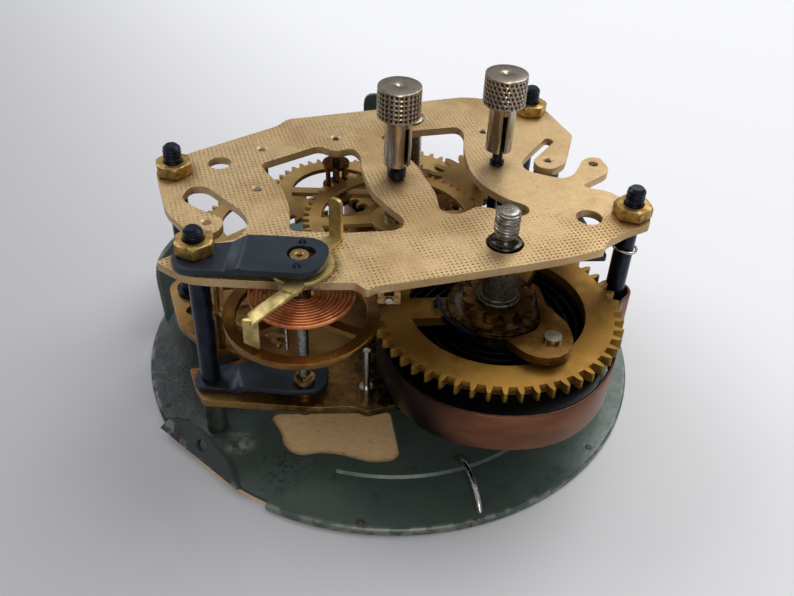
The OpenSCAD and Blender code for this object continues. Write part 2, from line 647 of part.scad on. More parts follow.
module upper_balance_bush() {
    color(brass) translate([balance_p[0], balance_p[1], 0]) difference() {
        union() {
            translate([0, 0, back_z]) cylinder(d = upper_bush_d, h = plate_t + upper_rise + 0.6);
            translate([0, 0, back_top + regulator_t + 0.1])
                cylinder(d1 = upper_bush_d + 0.5, d2 = upper_bush_d + 0.2, h = 0.2);
        }
        translate([0, 0, back_z - eps]) cylinder(d1 = staff_d + 0.3, d2 = 0.5, h = 1);
        translate([0, 0, back_z]) cylinder(d = 0.5, h = 5);
        translate([0, 0, upper_z + 0.4]) cylinder(d1 = 0.5, d2 = 1.1, h = 0.3);
    }
}

module bridge_rivets() {
    color("#17191d") for (p = rivet_ps) {
        rod(p, rivet_d, upper_z, upper_z + bridge_t);
        translate([p[0], p[1], upper_z + bridge_t]) cylinder(d1 = 0.9, d2 = 0.6, h = 0.2);
    }
}

// regulator: ring, tail with its upright tab, curb arm over the plate's front edge
module regulator() {
    t = regulator_t;
    z = back_top + fit;
    ring_r = 3.6;
    arm_w = 1.8;
    tab_w = 1.6;
    tab_h = 3.8;
    arm_a = 25;
    run = 4.4;
    drop = 2.6;
    tail = balance_p + [3.3, 4.9];
    root = balance_p + [-0.3, -4.4];
    color("#cfae5a") union() {
        difference() {
            union() {
                rod(balance_p, 2 * ring_r, z, z + t);
                arm(balance_p, tail, 2.6, 1.6, z, t);
                slab([[root[0] - 0.9, balance_p[1], 0], [root[0] - 0.9, root[1] - 0.2, 0],
                    [root[0] + 0.1, root[1] - 0.8, 0.2], [root[0] + 1.2, root[1], 0.6],
                    [root[0] + 1.2, balance_p[1], 0]], z, t);
            }
            drill(balance_p, upper_bush_d + 2 * fit, z - 1, z + 2);
        }
        translate([root[0], root[1], z]) rotate([0, 0, arm_a]) translate([0, arm_w / 2, 0])
            rotate([90, 0, 0]) linear_extrude(arm_w) polygon([
                [0.4, 0], [0.4, t], [0, t], [-run, t - drop], [-run - 0.3, -drop], [-0.1, 0]]);
        translate([root[0] - run * cos(arm_a) - tab_w / 2, root[1] - run * sin(arm_a), z - drop + t])
            rotate([90, 0, 0]) linear_extrude(t) polygon([
                [0, 0], [tab_w, 0], [tab_w, -tab_h], [0, 0.9 - tab_h]]);
        translate([tail[0], tail[1], z]) rotate([0, 0, 57]) translate([t - 0.1, -0.8, 0])
            rotate([0, -90, 0]) linear_extrude(t) polygon(rounded([
                [0, 0, 0], [regulator_tab_h, 0, 0.7], [regulator_tab_h, 1.6, 0.7], [0, 1.6, 0]]));
    }
}

module hairspring_stud() {
    p = balance_p + polar(stud_pin_r, stud_a);
    color("#b0a070") rod(p, 0.9, hairspring_z - 0.3, back_z);
}

module stop_pin() {
    p = [-2.4, -18];
    color(steel_dark) union() {
        rod(p, 1.6, front_top, front_top + 0.9);
        rod(p, 0.9, front_top, front_top + 6.4);
    }
}

block_p = [-0.1, -19.1];
block_h = 2;
module guide_block() {
    w = 2.4;
    color(brass_dark) difference() {
        translate([block_p[0] - w / 2, block_p[1] - 1.3, back_z - block_h])
            cube([w, 2.6, block_h]);
        translate([block_p[0] - 0.5, block_p[1] - 2, back_z - block_h + 1])
            cube([1, 4, block_h]);
        translate([block_p[0], block_p[1] + 2, back_z - block_h + 0.55]) rotate([90, 0, 0])
            cylinder(d = 0.8, h = 4);
    }
}

module guide_pin() {
    color("silver") translate([block_p[0], block_p[1] + 1.5, back_z - block_h + 0.55])
        rotate([90, 0, 0]) cylinder(d = 0.8 - 2 * fit, h = 3.1);
}

module verge_bush() {
    color("#17191d") difference() {
        rod(verge_p, 3.2, back_z - 1.6, back_z);
        drill(verge_p, arbor_d + 2 * loose, back_z - 2, back_z + 1);
    }
}

// great wheel and its click work
great_r = great_module * great_teeth / 2;
great_start = 0.4;
click_a = -53.4;
click_r = 9.15;
click_p = great_p + polar(click_r, click_a);

module great_wheel() {
    color(brass) union() {
        difference() {
            wheel(great_p, teeth(great_teeth, great_r - 0.85, great_r + 0.28, 0.46, 0.16,
                great_start), great_z, great_t, sleeve_d + 2 * fit, 5.8, 10.15, 3, 3.6, 67);
            drill(click_p, 1.4 + 2 * fit, great_z - 1, great_top + 1);
        }
        difference() {
            rod(great_p, 11.4, great_top, great_top + boss_h);
            drill(great_p, sleeve_d + 2 * fit, great_top - 1, great_top + 1);
        }
    }
}

// ratchet teeth: steep face towards the click, long back
function ratchet(n, root_r, tip_r, start) = [for (i = [0:n - 1])
    let (a = start + i * 360 / n) each [polar(root_r, a), polar(tip_r, a + 3),
        polar((root_r + tip_r) / 2 + 0.2, a + 0.55 * 360 / n)]];

click_outline = [[4.1, 2.6, 0.1], [4.7, 2.1, 0.3], [5.15, 0.1, 0.6], [5.2, -1.3, 0.5], [6, -2.3, 0.6],
    [7.5, -4.6, 0.9], [7.8, -7.3, 1], [6.9, -9.5, 1.1], [5, -10.5, 1.1], [2.6, -10, 1],
    [0.4, -7.6, 0.3], [2.3, -6.9, 0.6], [4.05, -5.6, 0.6], [4.5, -3.9, 0.6], [4.5, -1.6, 0.4],
    [4.45, 0, 0.4]];

module click() {
    color(brass) difference() {
        translate([great_p[0], great_p[1], 0]) slab(click_outline, ratchet_z, click_t);
        drill(click_p, 1.4 + 2 * fit, ratchet_z - 1, ratchet_z + 3);
    }
}

module click_rivet() {
    color("silver") union() {
        rod(click_p, 1.4, great_z, ratchet_z + click_t + fit);
        rod(click_p, 2.4, great_top, ratchet_z - fit);
        rod(click_p, 1.9, ratchet_z + click_t + fit, ratchet_z + click_t + rivet_h);
    }
}

module click_spring() {
    color(steel_dark) union() {
        translate([0, 0, great_top]) linear_extrude(0.8)
            polygon(ribbon([for (a = [-184:8:-112]) great_p + polar(6.8, a)], 0.4));
        rod(great_p + polar(6.8, -176), 1.2, great_top, great_top + 0.5);
    }
}

// winding arbor: pivot, spring hub, sleeve, shoulder, neck and thread
module winding_arbor_at(p, hub_z, hub_h, wheel_top, seat_top) {
    rod(p, 2.2, front_z + shake, front_top + shake);
    rod(p, sleeve_d, front_top + shake, seat_top);
    rod(p, sleeve_d + 0.3, back_z - 0.6, back_top + 0.3);
    translate([p[0], p[1], back_top + 0.3]) cylinder(d1 = sleeve_d + 0.3, d2 = 2.2, h = 0.3);
    rod(p, 2.2, back_top + 0.3, winder_top - winder_len);
    rod(p, winder_d, winder_top - winder_len, winder_top - 0.3);
    translate([p[0], p[1], winder_top - 0.3])
        cylinder(d1 = winder_d, d2 = winder_d - 0.6, h = 0.3);
    rod(p, sleeve_d + 0.4, hub_z, hub_z + hub_h);
}

module winding_arbor() {
    color(steel_bright) union() {
        winding_arbor_at(great_p, time_spring_z, time_spring_w, great_top, back_z - 0.5);
        rod(great_p, 5, ratchet_z + ratchet_t, ratchet_z + ratchet_t + 0.4);
        rod(great_p, 4.4, ratchet_z + ratchet_t, ratchet_z + ratchet_t + 0.8);
    }
}

module ratchet_at(p, z, t, root_r, tip_r, start) {
    translate([p[0], p[1], z]) difference() {
        linear_extrude(t) polygon(ratchet(ratchet_teeth, root_r, tip_r, start));
        translate([0, 0, -1]) cylinder(d = sleeve_d + fit, h = t + 2);
    }
}

module ratchet_wheel() {
    color(brass_dark) ratchet_at(great_p, ratchet_z, ratchet_t, 3.2, 4.2, -25);
}

module time_mainspring() {
    color("#4a2c22") translate([0, 0, time_spring_z]) linear_extrude(time_spring_w)
        polygon(ribbon(time_spring_path, spring_t));
}

centre_r = centre_module * centre_teeth / 2;
pipe_seat = 0.5;

module centre_wheel() {
    color(brass) wheel(centre_p, teeth(centre_teeth, centre_r - 0.3, centre_r + 0.45,
        0.48, 0.2, centre_line), centre_z, wheel_t, centre_pipe_d + fit, 3, 9.1, 4, 1.8, 10);
}

pinion_r = great_module * centre_leaves / 2;
module centre_pinion() {
    start = mesh_start(great_line + 180, great_start, great_teeth, centre_leaves);
    color("#8f8c84") difference() {
        union() {
            rod(centre_p, centre_pipe_d, front_top + shake, centre_z + wheel_t + 0.6);
            rod(centre_p, centre_pipe_d + 1.2, centre_z - pipe_seat, centre_z);
            translate([0, 0, great_z - 0.5]) linear_extrude(great_t + 0.55)
                polygon(teeth(centre_leaves, pinion_r - 0.7, pinion_r + 0.3, 0.42, 0.2, start));
        }
        drill(centre_p, hand_arbor_d + 2 * fit, front_top - 1, back_z);
    }
}

module hand_arbor() {
    collar_z = back_top + loose;
    color("#55524c") union() {
        rod(centre_p, hand_arbor_d, 0.3, knob_z + knob_tube_h - 1);
        rod(centre_p, hand_arbor_d + 1.1, collar_z + 0.3, collar_z + 1.2);
        translate([0, 0, collar_z]) cylinder(d1 = hand_arbor_d + 0.4,
            d2 = hand_arbor_d + 1.1, h = 0.3);
        translate([0, 0, collar_z + 1.2]) cylinder(d1 = hand_arbor_d + 1.1,
            d2 = hand_arbor_d, h = 0.4);
    }
}

// knob: knurled head, slit tube, bore for its arbor
module knob_at(p, bore_d, slot_a) {
    edge = 0.25;
    translate([p[0], p[1], 0]) difference() {
        union() {
            translate([0, 0, knob_z]) cylinder(d = knob_tube_d, h = knob_tube_h + 0.1);
            translate([0, 0, knob_z + knob_tube_h]) rotate_extrude() polygon([
                [0, 0], [knob_d / 2 - edge, 0], [knob_d / 2, edge], [knob_d / 2, knob_h - edge],
                [knob_d / 2 - edge, knob_h], [0.35, knob_h], [0, knob_h - 0.2]]);
        }
        translate([0, 0, knob_z - 1]) cylinder(d = bore_d + fit, h = knob_tube_h + 0.4);
        rotate([0, 0, slot_a]) translate([0, -knob_slot / 2, knob_z - 1])
            cube([knob_tube_d, knob_slot, knob_tube_h]);
        rotate([0, 0, slot_a + 180]) translate([0, -knob_slot / 2, knob_z - 1])
            cube([knob_tube_d, knob_slot, knob_tube_h]);
    }
}

module hand_knob() {
    color("#a9a69c") knob_at(centre_p, hand_arbor_d, -48);
}

// motion work under the front plate
minute_a = 118;
minute_leaves = 12;
minute_teeth = 36;
hour_teeth = 48;
minute_dist = minute_module * (minute_leaves + minute_teeth) / 2;
hour_module = 2 * minute_dist / (minute_leaves + hour_teeth);
minute_p = centre_p + polar(minute_dist, minute_a);
alarm_wheel_z = panel_z + 0.5;
hour_z = alarm_wheel_z + motion_t + 0.5;
minute_z = hour_z + motion_t + 1.5;
cannon_d = hand_arbor_d + 1;
hour_pipe_d = cannon_d + 1;

module cannon_pinion() {
    r = minute_module * minute_leaves / 2;
    color(brass_dark) difference() {
        union() {
            rod(centre_p, cannon_d, 0.3, front_z - 0.4);
            translate([0, 0, minute_z - 0.3]) linear_extrude(motion_t + 0.6)
                polygon(teeth(minute_leaves, r - 0.35, r + 0.22, 0.42, 0.2,
                    mesh_start(minute_a + 180, minute_a + 180, minute_teeth, minute_leaves)));
        }
        drill(centre_p, hand_arbor_d + fit, -1, front_z);
    }
}

module minute_wheel() {
    r = minute_module * minute_teeth / 2;
    pr = hour_module * minute_leaves / 2;
    color(brass) difference() {
        union() {
            translate([minute_p[0], minute_p[1], minute_z]) linear_extrude(motion_t)
                polygon(teeth(minute_teeth, r - 0.3, r + 0.22, 0.46, 0.2, minute_a + 180));
            translate([minute_p[0], minute_p[1], hour_z - 0.3])
                linear_extrude(minute_z - hour_z + 0.4)
                polygon(teeth(minute_leaves, pr - 0.3, pr + 0.16, 0.42, 0.2,
                    mesh_start(minute_a, minute_a, hour_teeth, minute_leaves)));
        }
        drill(minute_p, 1 + 2 * fit, 0, front_z);
    }
}

module minute_stud() {
    color(steel_dark) union() {
        rod(minute_p, 1, hour_z - 0.4, front_z);
        rod(minute_p, 2, minute_z + motion_t + 0.1, front_z);
    }
}

module hour_wheel() {
    r = hour_module * hour_teeth / 2;
    color(brass) difference() {
        union() {
            translate([0, 0, hour_z]) linear_extrude(motion_t)
                polygon(teeth(hour_teeth, r - 0.25, r + 0.16, 0.46, 0.2, minute_a));
            rod(centre_p, hour_pipe_d, 0.3, hour_z + motion_t);
        }
        drill(centre_p, cannon_d + 2 * fit, -1, front_z);
    }
}

// third wheel and its lantern pinion
third_r = third_module * third_teeth / 2;
lantern_r = centre_module * lantern_trundles / 2;
lantern_z = centre_z - 0.9;
lantern_h = 3.7;
trundle_d = 0.5;

module third_wheel() {
    color(brass) wheel(third_p, teeth(third_teeth, third_r - 0.45, third_r + 0.33,
        0.44, 0.18, third_line), third_z, wheel_t, arbor_d + fit, 2.1, 5.9, 4, 1.3, 2);
}

module third_arbor() {
    core_d = 0.9;
    color(steel_dark) union() {
        rod(third_p, arbor_d, front_top + shake, lantern_z);
        rod(third_p, core_d, lantern_z, back_z - shake);
        rod(third_p, pivot_d, front_z + shake, back_top - shake);
        rod(third_p, 3.6, third_z - 0.9, third_z);
        rod(third_p, 2.7, third_z + wheel_t, lantern_z);
    }
}

module lantern_pinion() {
    disc_t = 0.45;
    color("#7a4a26") union() {
        for (z = [lantern_z, lantern_z + lantern_h - disc_t]) difference() {
            rod(third_p, 3.5, z, z + disc_t);
            drill(third_p, 0.9 + fit, z - 1, z + 1);
        }
        for (i = [0:lantern_trundles - 1]) rod(third_p
            + polar(lantern_r, centre_line + 180 + (i + 0.5) * 360 / lantern_trundles),
            trundle_d, lantern_z + disc_t - eps, lantern_z + lantern_h - disc_t + eps);
    }
}

fourth_r = fourth_module * fourth_teeth / 2;

module fourth_wheel() {
    color(brass) wheel(fourth_p, teeth(fourth_teeth, fourth_r - 0.45, fourth_r + 0.33,
        0.44, 0.18, fourth_line), fourth_z, wheel_t, arbor_d + fit, 2.1, 5.9, 4, 1.3, 45);
}

// arbor with a small pinion
module pinion_arbor(p, module_size, n, start, z, h) {
    r = module_size * n / 2;
    union() {
        arbor(p, arbor_d);
        translate([p[0], p[1], z]) linear_extrude(h)
            polygon(teeth(n, r - 0.5, r + 0.25, 0.36, 0.18, start));
    }
}

module fourth_pinion() {
    color(steel_dark) union() {
        pinion_arbor(fourth_p, third_module, small_leaves,
            mesh_start(third_line, third_line, third_teeth, small_leaves),
            third_z - 0.8, wheel_t + 1.6);
        rod(fourth_p, 2.4, fourth_z - 0.6, fourth_z);
    }
}

// escape wheel with pointed teeth and four windows
pin_half = 90 / escape_teeth * 5;
escape_phase = lever_a + pin_half - 90 / escape_teeth;
module escape_wheel() {
    root = escape_r - 1.5;
    color(brass) translate([escape_p[0], escape_p[1], 0]) difference() {
        translate([0, 0, escape_z]) linear_extrude(escape_t)
            polygon([for (i = [0:escape_teeth - 1])
                let (a = escape_phase + (i + 0.5) * 360 / escape_teeth) each [
                polar(root, a - 4.5), polar(escape_r, a - 0.9),
                polar(escape_r, a + 0.4), polar(root, a + 3)]]);
        translate([0, 0, escape_z - 1]) cylinder(d = arbor_d + fit, h = 3);
        windows(1.6, root - 0.9, 4, 0.8, 20, escape_z, escape_t);
    }
}

module escape_pinion() {
    color(steel_dark) union() {
        pinion_arbor(escape_p, fourth_module, small_leaves,
            mesh_start(fourth_line, fourth_line, fourth_teeth, small_leaves),
            fourth_z - 0.8, wheel_t + 1.6);
        rod(escape_p, 2.2, escape_z - 0.6, escape_z);
    }
}

// pin pallet lever: anchor with two pins, arm and fork
pin_reach = escape_r + pallet_pin_d / 2 + 0.06;
pin_ps = [for (s = [-1, 1]) escape_p + polar(pin_reach, lever_a + s * pin_half)];

// tapered arm between two points
module arm(p, q, w_p, w_q, z, t) {
    v = [p[1] - q[1], q[0] - p[0]] / norm(q - p) / 2;
    a = p + w_p * v;
    b = q + w_q * v;
    c = q - w_q * v;
    d = p - w_p * v;
    slab([[a[0], a[1], 0], [b[0], b[1], 0.3], [c[0], c[1], 0.3], [d[0], d[1], 0]], z, t);
}

module pallet_lever() {
    fork_dist = balance_dist - impulse_r - 0.45;
    notch = 0.7;
    u = polar(1, balance_a);
    color("#a88a4a") difference() {
        union() {
            for (p = pin_ps)
                arm(lever_p, p + 0.6 * unit(p - lever_p), 1.6, 1.2, lever_z, lever_t);
            arm(lever_p, lever_p + (fork_dist - 1.2) * u, 1.6, 1, lever_z, lever_t);
            arm(lever_p + (fork_dist - 2) * u, lever_p + fork_dist * u, 1, 2, lever_z, lever_t);
            rod(lever_p, 2.8, lever_z, lever_z + lever_t);
        }
        translate([lever_p[0], lever_p[1], lever_z - 1]) rotate([0, 0, balance_a])
            translate([fork_dist - 0.9, -notch / 2, 0]) cube([2, notch, 3]);
    }
    color(steel_dark) union() {
        arbor(lever_p, arbor_d);
        for (p = pin_ps) rod(p, pallet_pin_d, escape_z - 0.2, lever_z + lever_t / 2);
    }
}

module balance_wheel() {
    r = balance_d / 2;
    color("#a07a3c") translate([balance_p[0], balance_p[1], 0]) difference() {
        translate([0, 0, balance_z]) cylinder(r = r, h = balance_t, $fn = 96);
        translate([0, 0, balance_z - 1]) cylinder(d = staff_d + fit, h = balance_t + 2);
        windows(1.6, r - balance_rim_w, 3, 1.2, -25, balance_z, balance_t);
    }
}

collet_z = hairspring_z - 0.3;
module balance_staff() {
    low = screw_top - 0.4;
    color("#8a8984") union() {
        rod(balance_p, staff_d, low + 0.9, back_z - 0.4);
        translate([balance_p[0], balance_p[1], low]) cylinder(d1 = 0.2, d2 = staff_d, h = 0.9);
        translate([balance_p[0], balance_p[1], back_z - 0.4])
            cylinder(d1 = staff_d, d2 = 0.4, h = 0.6);
        rod(balance_p, 0.4, back_z, back_top + 1);
        rod(balance_p, 2.8, balance_z - 0.5, balance_z);
    }
}

module impulse_pin() {
    p = balance_p + polar(impulse_r, balance_a + 180);
    color("silver") rod(p, 0.4, lever_z - 0.3, balance_z + balance_t);
}

module hairspring_collet() {
    color(brass_dark) difference() {
        rod(balance_p, 2 * collet_r, collet_z, collet_z + 1.1);
        drill(balance_p, staff_d + fit, collet_z - 1, collet_z + 2);
    }
}

module hairspring() {
    color("#b5552b") translate([0, 0, hairspring_z]) linear_extrude(hairspring_w)
        polygon(ribbon(hairspring_path, hairspring_t));
}

// alarm train
alarm_r = alarm_module * alarm_teeth / 2;
alarm_click_p = alarm_p + polar(6.9, 200);
module alarm_great_wheel() {
    color(brass) difference() {
        wheel(alarm_p, teeth(alarm_teeth, alarm_r - 0.5, alarm_r + 0.45, 0.44, 0.18,
            alarm_escape_a), alarm_great_z, wheel_t, sleeve_d + 2 * fit, 5, 6.2, 3, 14, 20);
        drill(alarm_click_p, 1.2 + 2 * fit, alarm_great_z - 1, alarm_great_z + 2);
    }
}

module alarm_click() {
    t = wheel_t;
    z = alarm_great_z + wheel_t + 0.2;
    color(brass_dark) union() {
        translate([alarm_p[0], alarm_p[1], 0]) rotate([0, 0, 200]) slab([
            [8.1, 0.3, 0.6], [7.6, 1.3, 0.7], [6.4, 1.3, 0.7], [5.2, 3.6, 0.4],
            [4.2, 3.2, 0.1], [5.6, -0.6, 0.7], [6.6, -1.3, 0.7], [7.8, -0.9, 0.7]], z, t);
        rod(alarm_click_p, 1.2, alarm_great_z, z + 0.1);
        rod(alarm_click_p, 1.6, z, z + t + 0.2);
    }
}

module alarm_winding_arbor() {
    color(steel_dark) union() {
        winding_arbor_at(alarm_p, alarm_spring_z, alarm_spring_w, alarm_great_z, back_z - 0.5);
        rod(alarm_p, 5, alarm_ratchet_z + wheel_t, alarm_ratchet_z + wheel_t + 0.4);
    }
}

module alarm_ratchet() {
    color(brass_dark) ratchet_at(alarm_p, alarm_ratchet_z, wheel_t, 3.2, 4.2, 232);
}

module alarm_mainspring() {
    color("#2a2422") translate([0, 0, alarm_spring_z]) linear_extrude(alarm_spring_w)
        polygon(ribbon(alarm_spring_path, spring_t));
}

alarm_pin_half = 90 / alarm_escape_teeth * 5;
module alarm_escape_wheel() {
    start = verge_a + alarm_pin_half - 90 / alarm_escape_teeth + 180 / alarm_escape_teeth;
    root = alarm_escape_r - 1.9;
    color(brass) translate([alarm_escape_p[0], alarm_escape_p[1], alarm_escape_z]) difference() {
        linear_extrude(wheel_t) polygon([for (i = [0:alarm_escape_teeth - 1])
            let (a = start + i * 360 / alarm_escape_teeth) each [
                polar(root, a - 7.2), polar(alarm_escape_r - 0.4, a - 4),
                polar(alarm_escape_r, a - 1.4), polar(alarm_escape_r, a + 1.4),
                polar(alarm_escape_r - 0.4, a + 4), polar(root, a + 7.2)]]);
        translate([0, 0, -1]) cylinder(d = arbor_d + fit, h = 3);
    }
}

module alarm_pinion() {
    color(steel_dark) union() {
        pinion_arbor(alarm_escape_p, alarm_module, alarm_leaves,
            mesh_start(alarm_escape_a, alarm_escape_a, alarm_teeth, alarm_leaves),
            alarm_great_z - 0.3, wheel_t + 0.4);
        rod(alarm_escape_p, 2.6, alarm_escape_z - 0.6, alarm_escape_z);
    }
}

verge_pin_d = 0.5;
verge_pin_reach = alarm_escape_r + verge_pin_d / 2 + 0.06;
verge_pin_ps = [for (s = [-1, 1])
    alarm_escape_p + polar(verge_pin_reach, verge_a + s * alarm_pin_half)];
module alarm_verge() {
    t = 0.6;
    side_v = polar(0.55, verge_a + 90);
    color(steel_dark) union() {
        for (p = verge_pin_ps) {
            slab([concat(verge_p + 1.5 * side_v, [0.3]),
                concat(p + 0.6 * unit(p - verge_p) + side_v, [0.3]),
                concat(p + 0.6 * unit(p - verge_p) - side_v, [0.3]),
                concat(verge_p - 1.5 * side_v, [0.3])], verge_z, t);
            rod(p, verge_pin_d, alarm_escape_z - 0.2, verge_z + 0.1);
        }
        rod(verge_p, 2.8, verge_z, verge_z + t);
        arbor(verge_p, arbor_d);
    }
}

module hammer() {
    color("#1d2024") difference() {
        slab([[17.3, 7, 0.8], [20.2, 7.2, 0.8], [21.6, 3, 1], [23.4, -4.6, 0.8],
            [24.2, -5.6, 0.4], [24.4, -9.6, 0.3], [21, -9.9, 0.3], [20.8, -6.2, 0.4],
            [21.4, -4.8, 0.6], [18.8, 3, 1], [17.4, 4.6, 0.8]], hammer_z, hammer_t);
        drill(verge_p, arbor_d + fit, hammer_z - 1, hammer_z + 2);
    }
}

// alarm setting: arbor with its pinion and the wheel it turns
set_a = atan2(set_p[1], set_p[0]);
set_leaves = 10;
set_module = 2 * norm(set_p - centre_p) / (alarm_set_teeth + set_leaves);

module alarm_setting_arbor() {
    r = set_module * set_leaves / 2;
    color("#8f8c84") union() {
        rod(set_p, set_arbor_d, panel_z + 0.2, knob_z + knob_tube_h - 1);
        rod(set_p, set_arbor_d + 0.5, back_top + 0.1, back_top + 0.4);
        rod(set_p, set_arbor_d + 1.2, front_top + shake, front_top + 1);
        translate([set_p[0], set_p[1], alarm_wheel_z - 0.2]) linear_extrude(motion_t + 0.4)
            polygon(teeth(set_leaves, r - 0.5, r + 0.28, 0.42, 0.2,
                mesh_start(set_a, set_a, alarm_set_teeth, set_leaves)));
    }
}

module alarm_knob() {
    color("#a9a69c") knob_at(set_p, set_arbor_d, -80);
}

module alarm_wheel() {
    r = set_module * alarm_set_teeth / 2;
    color(brass) wheel(centre_p, teeth(alarm_set_teeth, r - 0.4, r + 0.28, 0.46, 0.2, set_a),
        alarm_wheel_z, motion_t, hour_pipe_d + 2 * fit, 4.4, 9, 3, 3, 30);
}

dial_disc();
dial_card();
wire_pin();
foot_posts();
front_plate();
back_plate();
pillars();
pillar_nuts();
pillar_ring();
lower_bridge();
lower_balance_screw();
guide_pin();
upper_bridge();
upper_balance_bush();
bridge_rivets();
regulator();
hairspring_stud();
stop_pin();
guide_block();
verge_bush();
great_wheel();
click();
click_rivet();
click_spring();
winding_arbor();
ratchet_wheel();
time_mainspring();
centre_wheel();
centre_pinion();
hand_arbor();
hand_knob();
cannon_pinion();
minute_wheel();
minute_stud();
hour_wheel();
third_wheel();
third_arbor();
lantern_pinion();
fourth_wheel();
fourth_pinion();
escape_wheel();
escape_pinion();
pallet_lever();
balance_wheel();
balance_staff();
impulse_pin();
hairspring_collet();
hairspring();
alarm_great_wheel();
alarm_click();
alarm_winding_arbor();
alarm_ratchet();
alarm_mainspring();
alarm_escape_wheel();
alarm_pinion();
alarm_verge();
hammer();
alarm_setting_arbor();
alarm_knob();
alarm_wheel();
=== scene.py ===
"""Dresses an alarm-clock movement: rounded edges, knurled knobs, threads, springs, finishes and a stage."""

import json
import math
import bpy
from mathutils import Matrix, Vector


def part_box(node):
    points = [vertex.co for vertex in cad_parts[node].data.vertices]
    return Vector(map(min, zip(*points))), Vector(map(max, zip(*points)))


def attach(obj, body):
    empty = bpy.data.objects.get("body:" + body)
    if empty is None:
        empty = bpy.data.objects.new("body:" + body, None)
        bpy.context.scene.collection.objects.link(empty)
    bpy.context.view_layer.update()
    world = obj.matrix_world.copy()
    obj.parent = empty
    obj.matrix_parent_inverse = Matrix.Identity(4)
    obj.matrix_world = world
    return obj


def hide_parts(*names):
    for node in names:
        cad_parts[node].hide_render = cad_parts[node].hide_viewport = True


bl_info = {
    "name": "Clock movement",
    "version": (1, 0, 0),
    "blender": (4, 5, 0),
    "location": "3D View > Sidebar > Clock movement",
    "description": "Dresses the solids of an alarm-clock movement and sets up its stage",
    "category": "Object",
}

import bmesh
import bpy
from mathutils import Matrix, Vector

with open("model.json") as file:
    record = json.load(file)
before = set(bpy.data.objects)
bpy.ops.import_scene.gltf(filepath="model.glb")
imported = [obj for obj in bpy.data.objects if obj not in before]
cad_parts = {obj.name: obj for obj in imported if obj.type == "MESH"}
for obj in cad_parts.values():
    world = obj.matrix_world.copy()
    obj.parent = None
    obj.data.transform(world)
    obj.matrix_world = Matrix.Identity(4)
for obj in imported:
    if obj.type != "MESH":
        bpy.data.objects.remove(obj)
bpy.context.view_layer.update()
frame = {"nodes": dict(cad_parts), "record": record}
MM = 0.001
NODES = frame["nodes"]
BODY_OF = {node: body for body, nodes in frame["record"]["behaviour"]["bodies"].items() for node in nodes}


def middle(node):
    """Centre of a node's box, in metres."""
    low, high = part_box(node)
    return (Vector(low) + Vector(high)) / 2


GREAT = middle("winding_arbor")
ALARM = middle("alarm_winding_arbor")
BALANCE = middle("balance_staff")
SETTING = middle("alarm_setting_arbor")
# a mainspring's end is bent round its pillar at this radius, in mm
EYE_RADIUS = 1.825
# mainspring strip, in mm
STRIP_THICKNESS = 0.42
# doubled corners of a CAD mesh are merged within this distance, in metres
MERGE_DISTANCE = 2e-6
# axes of the four pillars, in metres
LEFT_FRONT_PILLAR = Vector((-20.5, -17.6)) * MM
LEFT_REAR_PILLAR = Vector((-26.4, -0.9)) * MM
RIGHT_REAR_PILLAR = Vector((17.6, 18.9)) * MM
RIGHT_PILLAR = Vector((27.2, -5.8)) * MM
PILLARS = (LEFT_FRONT_PILLAR, LEFT_REAR_PILLAR, RIGHT_REAR_PILLAR, RIGHT_PILLAR)


def on_circle(angle, radius_mm):
    """A flat offset in metres at an angle in radians."""
    return Vector((math.cos(angle), math.sin(angle))) * radius_mm * MM


def linear(code):
    """An sRGB hex colour as linear red, green and blue."""
    values = [int(code[i:i + 2], 16) / 255 for i in (1, 3, 5)]
    return [v / 12.92 if v < 0.04045 else ((v + 0.055) / 1.055) ** 2.4 for v in values]


def colour(code, name, description):
    return bpy.props.FloatVectorProperty(
        name=name, description=description, subtype="COLOR", size=3, min=0, max=1, default=linear(code))


def length(value, name, description, low=0.0, high=100.0):
    """A length in millimetres."""
    return bpy.props.FloatProperty(name=name, description=description, default=value, min=low, max=high)


class MovementSizes(bpy.types.PropertyGroup):
    knurl_rows: bpy.props.IntProperty(
        name="Knurl rows", description="Rows of pits round a knob", default=6, min=2, max=9)
    knurl_columns: bpy.props.IntProperty(
        name="Knurl columns", description="Pits in one row of a knob", default=28, min=12, max=48)
    knurl_depth: length(0.17, "Knurl depth", "Depth of the pits in mm", 0.02, 0.3)
    stud_pitch: length(0.4, "Stud pitch", "Thread pitch of the pillar studs in mm", 0.2, 0.8)
    winder_pitch: length(0.38, "Winder pitch", "Thread pitch of the winding arbors in mm", 0.3, 1)
    dot_spacing: length(0.52, "Dot spacing", "Spacing of the dots punched in the back plate in mm", 0.3, 2)
    dot_size: length(0.1, "Dot radius", "Radius of a punched dot in mm", 0.03, 0.3)
    hair_wire: length(0.27, "Hairspring wire", "Visible thickness of the hairspring in mm", 0.1, 0.4)


